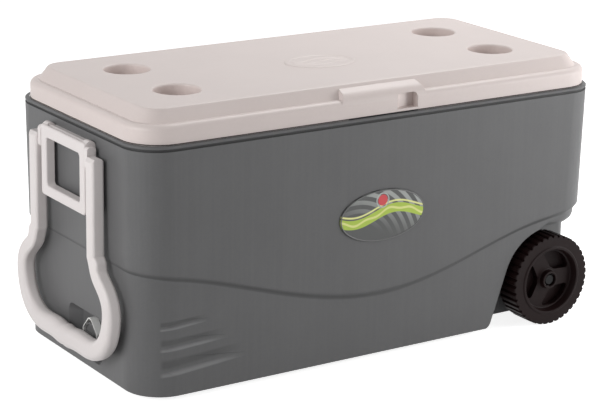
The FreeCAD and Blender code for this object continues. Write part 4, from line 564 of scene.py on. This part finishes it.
def emblem_rings(middle, half_x, half_y, rows=70, columns=180):
    """A raised oval on the lid: a flat field with a rim and three wavy ribs across it. It
    is higher where a point is near the rim or near one of the waves, with smooth flanks.
    Distances are shares of the oval's reach."""
    reach = np.linspace(0.02, 1.0, rows)[:, None]
    turn = np.linspace(0, 2 * math.pi, columns, endpoint=False)[None, :]
    across, along = reach * np.cos(turn), reach * np.sin(turn)

    def rib(distance, half):
        share = np.clip((half - np.abs(distance)) / (half * 0.5), 0, 1)
        return share * share * (3 - 2 * share)

    rise = rib(reach - 0.93 + 0 * turn, 0.06)
    for number in (-1, 0, 1):
        wave = 0.34 * number + 0.12 * np.sin(across * 5.0 + number)
        rise = np.maximum(rise, rib(along - wave, 0.06) * (reach < 0.80))
    z = middle[2] + EMBLEM_FIELD + EMBLEM_RELIEF * rise
    rings = np.stack([middle[0] + half_x * across, middle[1] + half_y * along, z], axis=2)
    under = rings[-1].copy()
    under[:, 2] = middle[2] - 0.001
    return np.concatenate([rings, under[None]])


def grid_faces(rows, columns, wrap_rows):
    """Quads of a grid of points numbered row by row. Each row closes on itself, and with
    wrap_rows the last row joins the first."""
    row = np.arange(rows if wrap_rows else rows - 1)
    first, second = np.meshgrid(row, np.arange(columns), indexing="ij")
    after, beside = (first + 1) % rows, (second + 1) % columns
    corners = [first * columns + second, first * columns + beside,
               after * columns + beside, after * columns + second]
    return np.stack([c.ravel() for c in corners], axis=1)


# ---- operators ------------------------------------------------------------------------

class CoolerOperator:
    bl_options = {"REGISTER", "UNDO"}

    def execute(self, context):
        scene = context.scene
        self.build(scene.cooler_colours, scene.cooler_finish)
        return {"FINISHED"}


class COOLER_OT_box(CoolerOperator, bpy.types.Operator):
    """Outer box with its moulded grain"""
    bl_idname = "cooler.box"
    bl_label = "Outer box"

    def build(self, colours, finish):
        grey = moulded("box grey", colours.body[:], finish.body_rough, finish.grain,
                       depth=0.00010, mottle=0.05, specular=0.30, edge=finish.shell_edge,
                       streaks=0.10, groove=GROOVE, scoops=SCOOPS)
        softened("outer_shell", "outer_box", grey, BOX_SHARP)
        # The crease strip is painted darker down its middle, as shade under the crease.
        shaded = moulded("crease grey", colours.body[:], finish.body_rough, finish.grain,
                         depth=0.00010, mottle=0.05, specular=0.20, edge=finish.shell_edge,
                         streaks=0.10, fade="down")
        rings = crease_rings()
        slope = ring_piece("crease_slope", rings, shaded, "box", loop=True)
        rows, columns = rings.shape[:2]
        down = slope.data.attributes.new("down", "FLOAT", "POINT")
        down.data.foreach_set("value", np.repeat(np.linspace(0, 1, rows), columns))


class COOLER_OT_lid(CoolerOperator, bpy.types.Operator):
    """Lid shell"""
    bl_idname = "cooler.lid"
    bl_label = "Lid"

    def build(self, colours, finish):
        white = moulded("lid white", colours.lid[:], finish.lid_rough, finish.grain,
                        depth=0.00007, mottle=0.02, specular=0.45, edge=finish.lid_edge)
        softened("lid_shell", "lid_top", white)
        # A dark strip round the lid's foot is painted shade in the seam between the lid and the
        # rim bead.
        dark = moulded("painted seam shade", colours.rubber[:], rough=0.75, grain=0.0006,
                       depth=0.00004, mottle=0.2, specular=0.2, edge=finish.small_edge)
        middle = MIDDLE[:2] + SEAM_SHADE_OFFSET
        plans = [rounded_plan(*(size + more for size in SEAM_SHADE_PLAN)) + middle
                 for more in SEAM_SHADE_FACE_AND_BACK]
        ring_piece("lid_seam_shade", band_rings(*plans, *SEAM_SHADE_HEIGHTS), dark,
                   "lid", loop=True)
        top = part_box("lid_shell")[1].z
        ring_piece("lid_emblem", emblem_rings((*EMBLEM_MIDDLE, top), *EMBLEM_HALF), white,
                   "lid")


class COOLER_OT_handles(CoolerOperator, bpy.types.Operator):
    """Tow handle, both lift handles and their brackets"""
    bl_idname = "cooler.handles"
    bl_label = "Handles"

    def build(self, colours, finish):
        white = moulded("handle white", colours.handle[:], rough=0.40, grain=finish.grain,
                        depth=0.00005, mottle=0.02, specular=0.45, edge=finish.handle_edge)
        for node in ("tow_handle", "tow_end_lift_handle", "wheel_end_lift_handle",
                     "tow_bracket", "wheel_end_bracket"):
            softened(node, node + "_moulded", white)


class COOLER_OT_wheels(CoolerOperator, bpy.types.Operator):
    """Both moulded wheels"""
    bl_idname = "cooler.wheels"
    bl_label = "Wheels"

    def build(self, colours, finish):
        dark = moulded("wheel black", colours.wheel[:], rough=0.50, grain=0.0011,
                       depth=0.00010, mottle=0.25, specular=0.12, edge=finish.handle_edge)
        for node in ("wheel_front", "wheel_back"):
            softened(node, node + "_moulded", dark)


class COOLER_OT_badge(CoolerOperator, bpy.types.Operator):
    """Oval badge with its printed pattern"""
    bl_idname = "cooler.badge"
    bl_label = "Badge"

    def build(self, colours, finish):
        printed = badge_print("badge print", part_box("badge_oval"), colours)
        dress(printed, "badge_oval")
        low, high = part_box("badge_oval")
        middle = ((low.x + high.x) / 2, low.y + BEZEL_SINK, (low.z + high.z) / 2)
        ring = moulded("badge bezel", colours.bezel[:], rough=0.35, grain=0.0008,
                       depth=0.00003, mottle=0.05, specular=0.5, edge=finish.small_edge)
        ring_piece("badge_bezel", oval_tube(middle, (high.x - low.x) / 2 - BEZEL_INSET,
                                            (high.z - low.z) / 2 - BEZEL_INSET,
                                            BEZEL_THICK),
                   ring, "box", loop=True)


class COOLER_OT_drain(CoolerOperator, bpy.types.Operator):
    """Drain spigot, nut, gasket, cap and strap"""
    bl_idname = "cooler.drain"
    bl_label = "Drain"

    def build(self, colours, finish):
        grey = moulded("drain grey", colours.drain[:], rough=0.42, grain=0.0009,
                       depth=0.00004, mottle=0.06, specular=0.5, edge=finish.small_edge)
        dress(grey, "drain_spigot", "drain_nut", "drain_cap")
        rubber = moulded("gasket rubber", colours.rubber[:], rough=0.72, grain=0.0006,
                         depth=0.00006, mottle=0.2, specular=0.3, edge=finish.small_edge)
        dress(rubber, "drain_gasket")
        nylon = moulded("strap nylon", colours.tether[:], rough=0.30, grain=0.0012,
                        depth=0.00003, mottle=0.03, specular=0.5, edge=finish.small_edge)
        dress(nylon, "drain_tether")


class COOLER_OT_hinges(CoolerOperator, bpy.types.Operator):
    """Lid hinges"""
    bl_idname = "cooler.hinges"
    bl_label = "Hinges"

    def build(self, colours, finish):
        white = moulded("hinge white", colours.handle[:], rough=0.42, grain=0.0010,
                        depth=0.00004, mottle=0.02, specular=0.45, edge=finish.small_edge)
        for side in ("left", "right"):
            dress(white, f"hinge_body_leaf_{side}", f"hinge_lid_leaf_{side}")


class COOLER_OT_metal(CoolerOperator, bpy.types.Operator):
    """Axle, washers, caps, pins and screws"""
    bl_idname = "cooler.metal"
    bl_label = "Metal parts"

    def build(self, colours, finish):
        bright = steel("turned steel", colours.steel[:])
        dress(bright, "axle", "hinge_pin_left", "hinge_pin_right", "tow_hinge_pin",
              "wheel_end_hinge_pin", "tow_pin_front", "tow_pin_back",
              "washer_inner_front", "washer_inner_back", "washer_outer_front",
              "washer_outer_back")
        screws = steel("screw steel", tint(colours.steel[:], 0.9), rough=0.35)
        dress(screws, "tow_bracket_screws", "wheel_end_bracket_screws",
              "hinge_body_screws", "hinge_lid_screws")
        caps = steel("cap steel", tint(colours.steel[:], 0.04), rough=0.5)
        dress(caps, "axle_cap_front", "axle_cap_back")


class COOLER_OT_inside(CoolerOperator, bpy.types.Operator):
    """Liners and foam"""
    bl_idname = "cooler.inside"
    bl_label = "Liners and foam"

    def build(self, colours, finish):
        white = moulded("liner white", colours.liner[:], rough=0.28, grain=0.0030,
                        depth=0.00004, mottle=0.02, specular=0.5, edge=finish.lid_edge)
        dress(white, "inner_liner", "lid_liner")
        dress(foam("insulating foam", colours.foam[:]), "insulation_foam", "lid_foam")


class COOLER_OT_stage(CoolerOperator, bpy.types.Operator):
    """Camera, lamps, floor and white surroundings"""
    bl_idname = "cooler.stage"
    bl_label = "Stage"

    def build(self, colours, finish):
        stage = bpy.context.scene.cooler_stage
        target = Vector((MIDDLE[0], MIDDLE[1], stage.height))
        self.camera(stage, target)
        self.lamp("key lamp", stage.key, (-2.2, -0.3, 1.0), target, width=1.4, height=1.0)
        self.lamp("fill lamp", stage.fill, (1.6, -1.2, 0.6), (0.42, -0.2, 0.22), width=0.9,
                  height=0.9)
        self.lamp("top lamp", stage.top, (1.0, 0.5, 1.9), (0.3, 0.0, 0.45), width=1.2,
                  height=1.0)
        self.floor(stage)
        self.world(stage)
        bpy.context.scene.view_settings.view_transform = "Standard"

    def camera(self, stage, target):
        side = math.cos(stage.elevation)
        back = Vector((math.sin(stage.azimuth) * side, -math.cos(stage.azimuth) * side,
                       math.sin(stage.elevation)))
        right = Vector((math.cos(stage.azimuth), math.sin(stage.azimuth), 0.0))
        up = back.cross(right)
        turn, tilt = math.cos(stage.roll), math.sin(stage.roll)
        right, up = turn * right + tilt * up, turn * up - tilt * right
        data = bpy.data.cameras.new("camera")
        data.lens, data.sensor_width = stage.lens, FILM_WIDTH
        data.shift_x, data.shift_y = stage.shift_x, stage.shift_y
        data.clip_end = 50.0
        camera = bpy.data.objects.new("camera", data)
        place = Matrix((right, up, back)).transposed().to_4x4()
        place.translation = target + back * stage.distance
        camera.matrix_world = place
        bpy.context.scene.collection.objects.link(camera)
        bpy.context.scene.camera = camera

    def lamp(self, name, power, spot, target, width, height):
        data = bpy.data.lights.new(name, "AREA")
        data.shape, data.size, data.size_y, data.energy = "RECTANGLE", width, height, power
        lamp = bpy.data.objects.new(name, data)
        lamp.location = spot
        lamp.rotation_euler = (Vector(target) - Vector(spot)).to_track_quat("-Z", "Y").to_euler()
        bpy.context.scene.collection.objects.link(lamp)

    def floor(self, stage):
        shader = Shader("studio floor")
        seen = shader.seen()
        matt = shader.node("BsdfDiffuse", values={"Color": FLOOR_GREY})
        glow = shader.node("Emission", values={"Color": (1, 1, 1, 1),
                                               "Strength": seen * stage.glow})
        both = shader.node("AddShader", values=[matt, glow])
        shader.node("OutputMaterial", values={"Surface": both})
        corners = [(x * FLOOR_HALF, y * FLOOR_HALF, -FLOOR_DROP)
                   for x, y in ((-1, -1), (1, -1), (1, 1), (-1, 1))]
        mesh = bpy.data.meshes.new("studio_floor")
        mesh.from_pydata(corners, [], [(0, 1, 2, 3)])
        mesh.materials.append(shader.material)
        item = bpy.data.objects.new("studio_floor", mesh)
        bpy.context.scene.collection.objects.link(item)

    def world(self, stage):
        world = bpy.data.worlds.new("studio")
        bpy.context.scene.world = world
        shader = Shader("studio", world)
        strength = stage.ambient + shader.seen() * (1.0 - stage.ambient)
        light = shader.node("Background", values={"Color": (1, 1, 1, 1), "Strength": strength})
        shader.node("OutputWorld", values={"Surface": light})


PIECES = (COOLER_OT_box, COOLER_OT_lid, COOLER_OT_handles, COOLER_OT_wheels, COOLER_OT_badge,
          COOLER_OT_drain, COOLER_OT_hinges, COOLER_OT_metal, COOLER_OT_inside,
          COOLER_OT_stage)
GROUPS = {"cooler_colours": CoolerColours, "cooler_finish": CoolerFinish,
          "cooler_stage": CoolerStage}


class COOLER_PT_panel(bpy.types.Panel):
    """Lists the cooler's settings and pieces"""
    bl_label = "Wheeled Cooler"
    bl_idname = "COOLER_PT_panel"
    bl_space_type = "VIEW_3D"
    bl_region_type = "UI"
    bl_category = "Cooler"

    def draw(self, context):
        for group in GROUPS:
            settings = getattr(context.scene, group)
            box = self.layout.box()
            for key in settings.__annotations__:
                box.prop(settings, key)
        for piece in PIECES:
            self.layout.operator(piece.bl_idname)


def register():
    for group in GROUPS.values():
        bpy.utils.register_class(group)
    for name, group in GROUPS.items():
        setattr(bpy.types.Scene, name, PointerProperty(type=group))
    for piece in (*PIECES, COOLER_PT_panel):
        bpy.utils.register_class(piece)


def unregister():
    for piece in reversed((*PIECES, COOLER_PT_panel)):
        bpy.utils.unregister_class(piece)
    for name, group in GROUPS.items():
        delattr(bpy.types.Scene, name)
        bpy.utils.unregister_class(group)


def main():
    register()
    for piece in PIECES:
        group, name = piece.bl_idname.split(".")
        getattr(getattr(bpy.ops, group), name)()


if __name__ == "__main__":
    main()
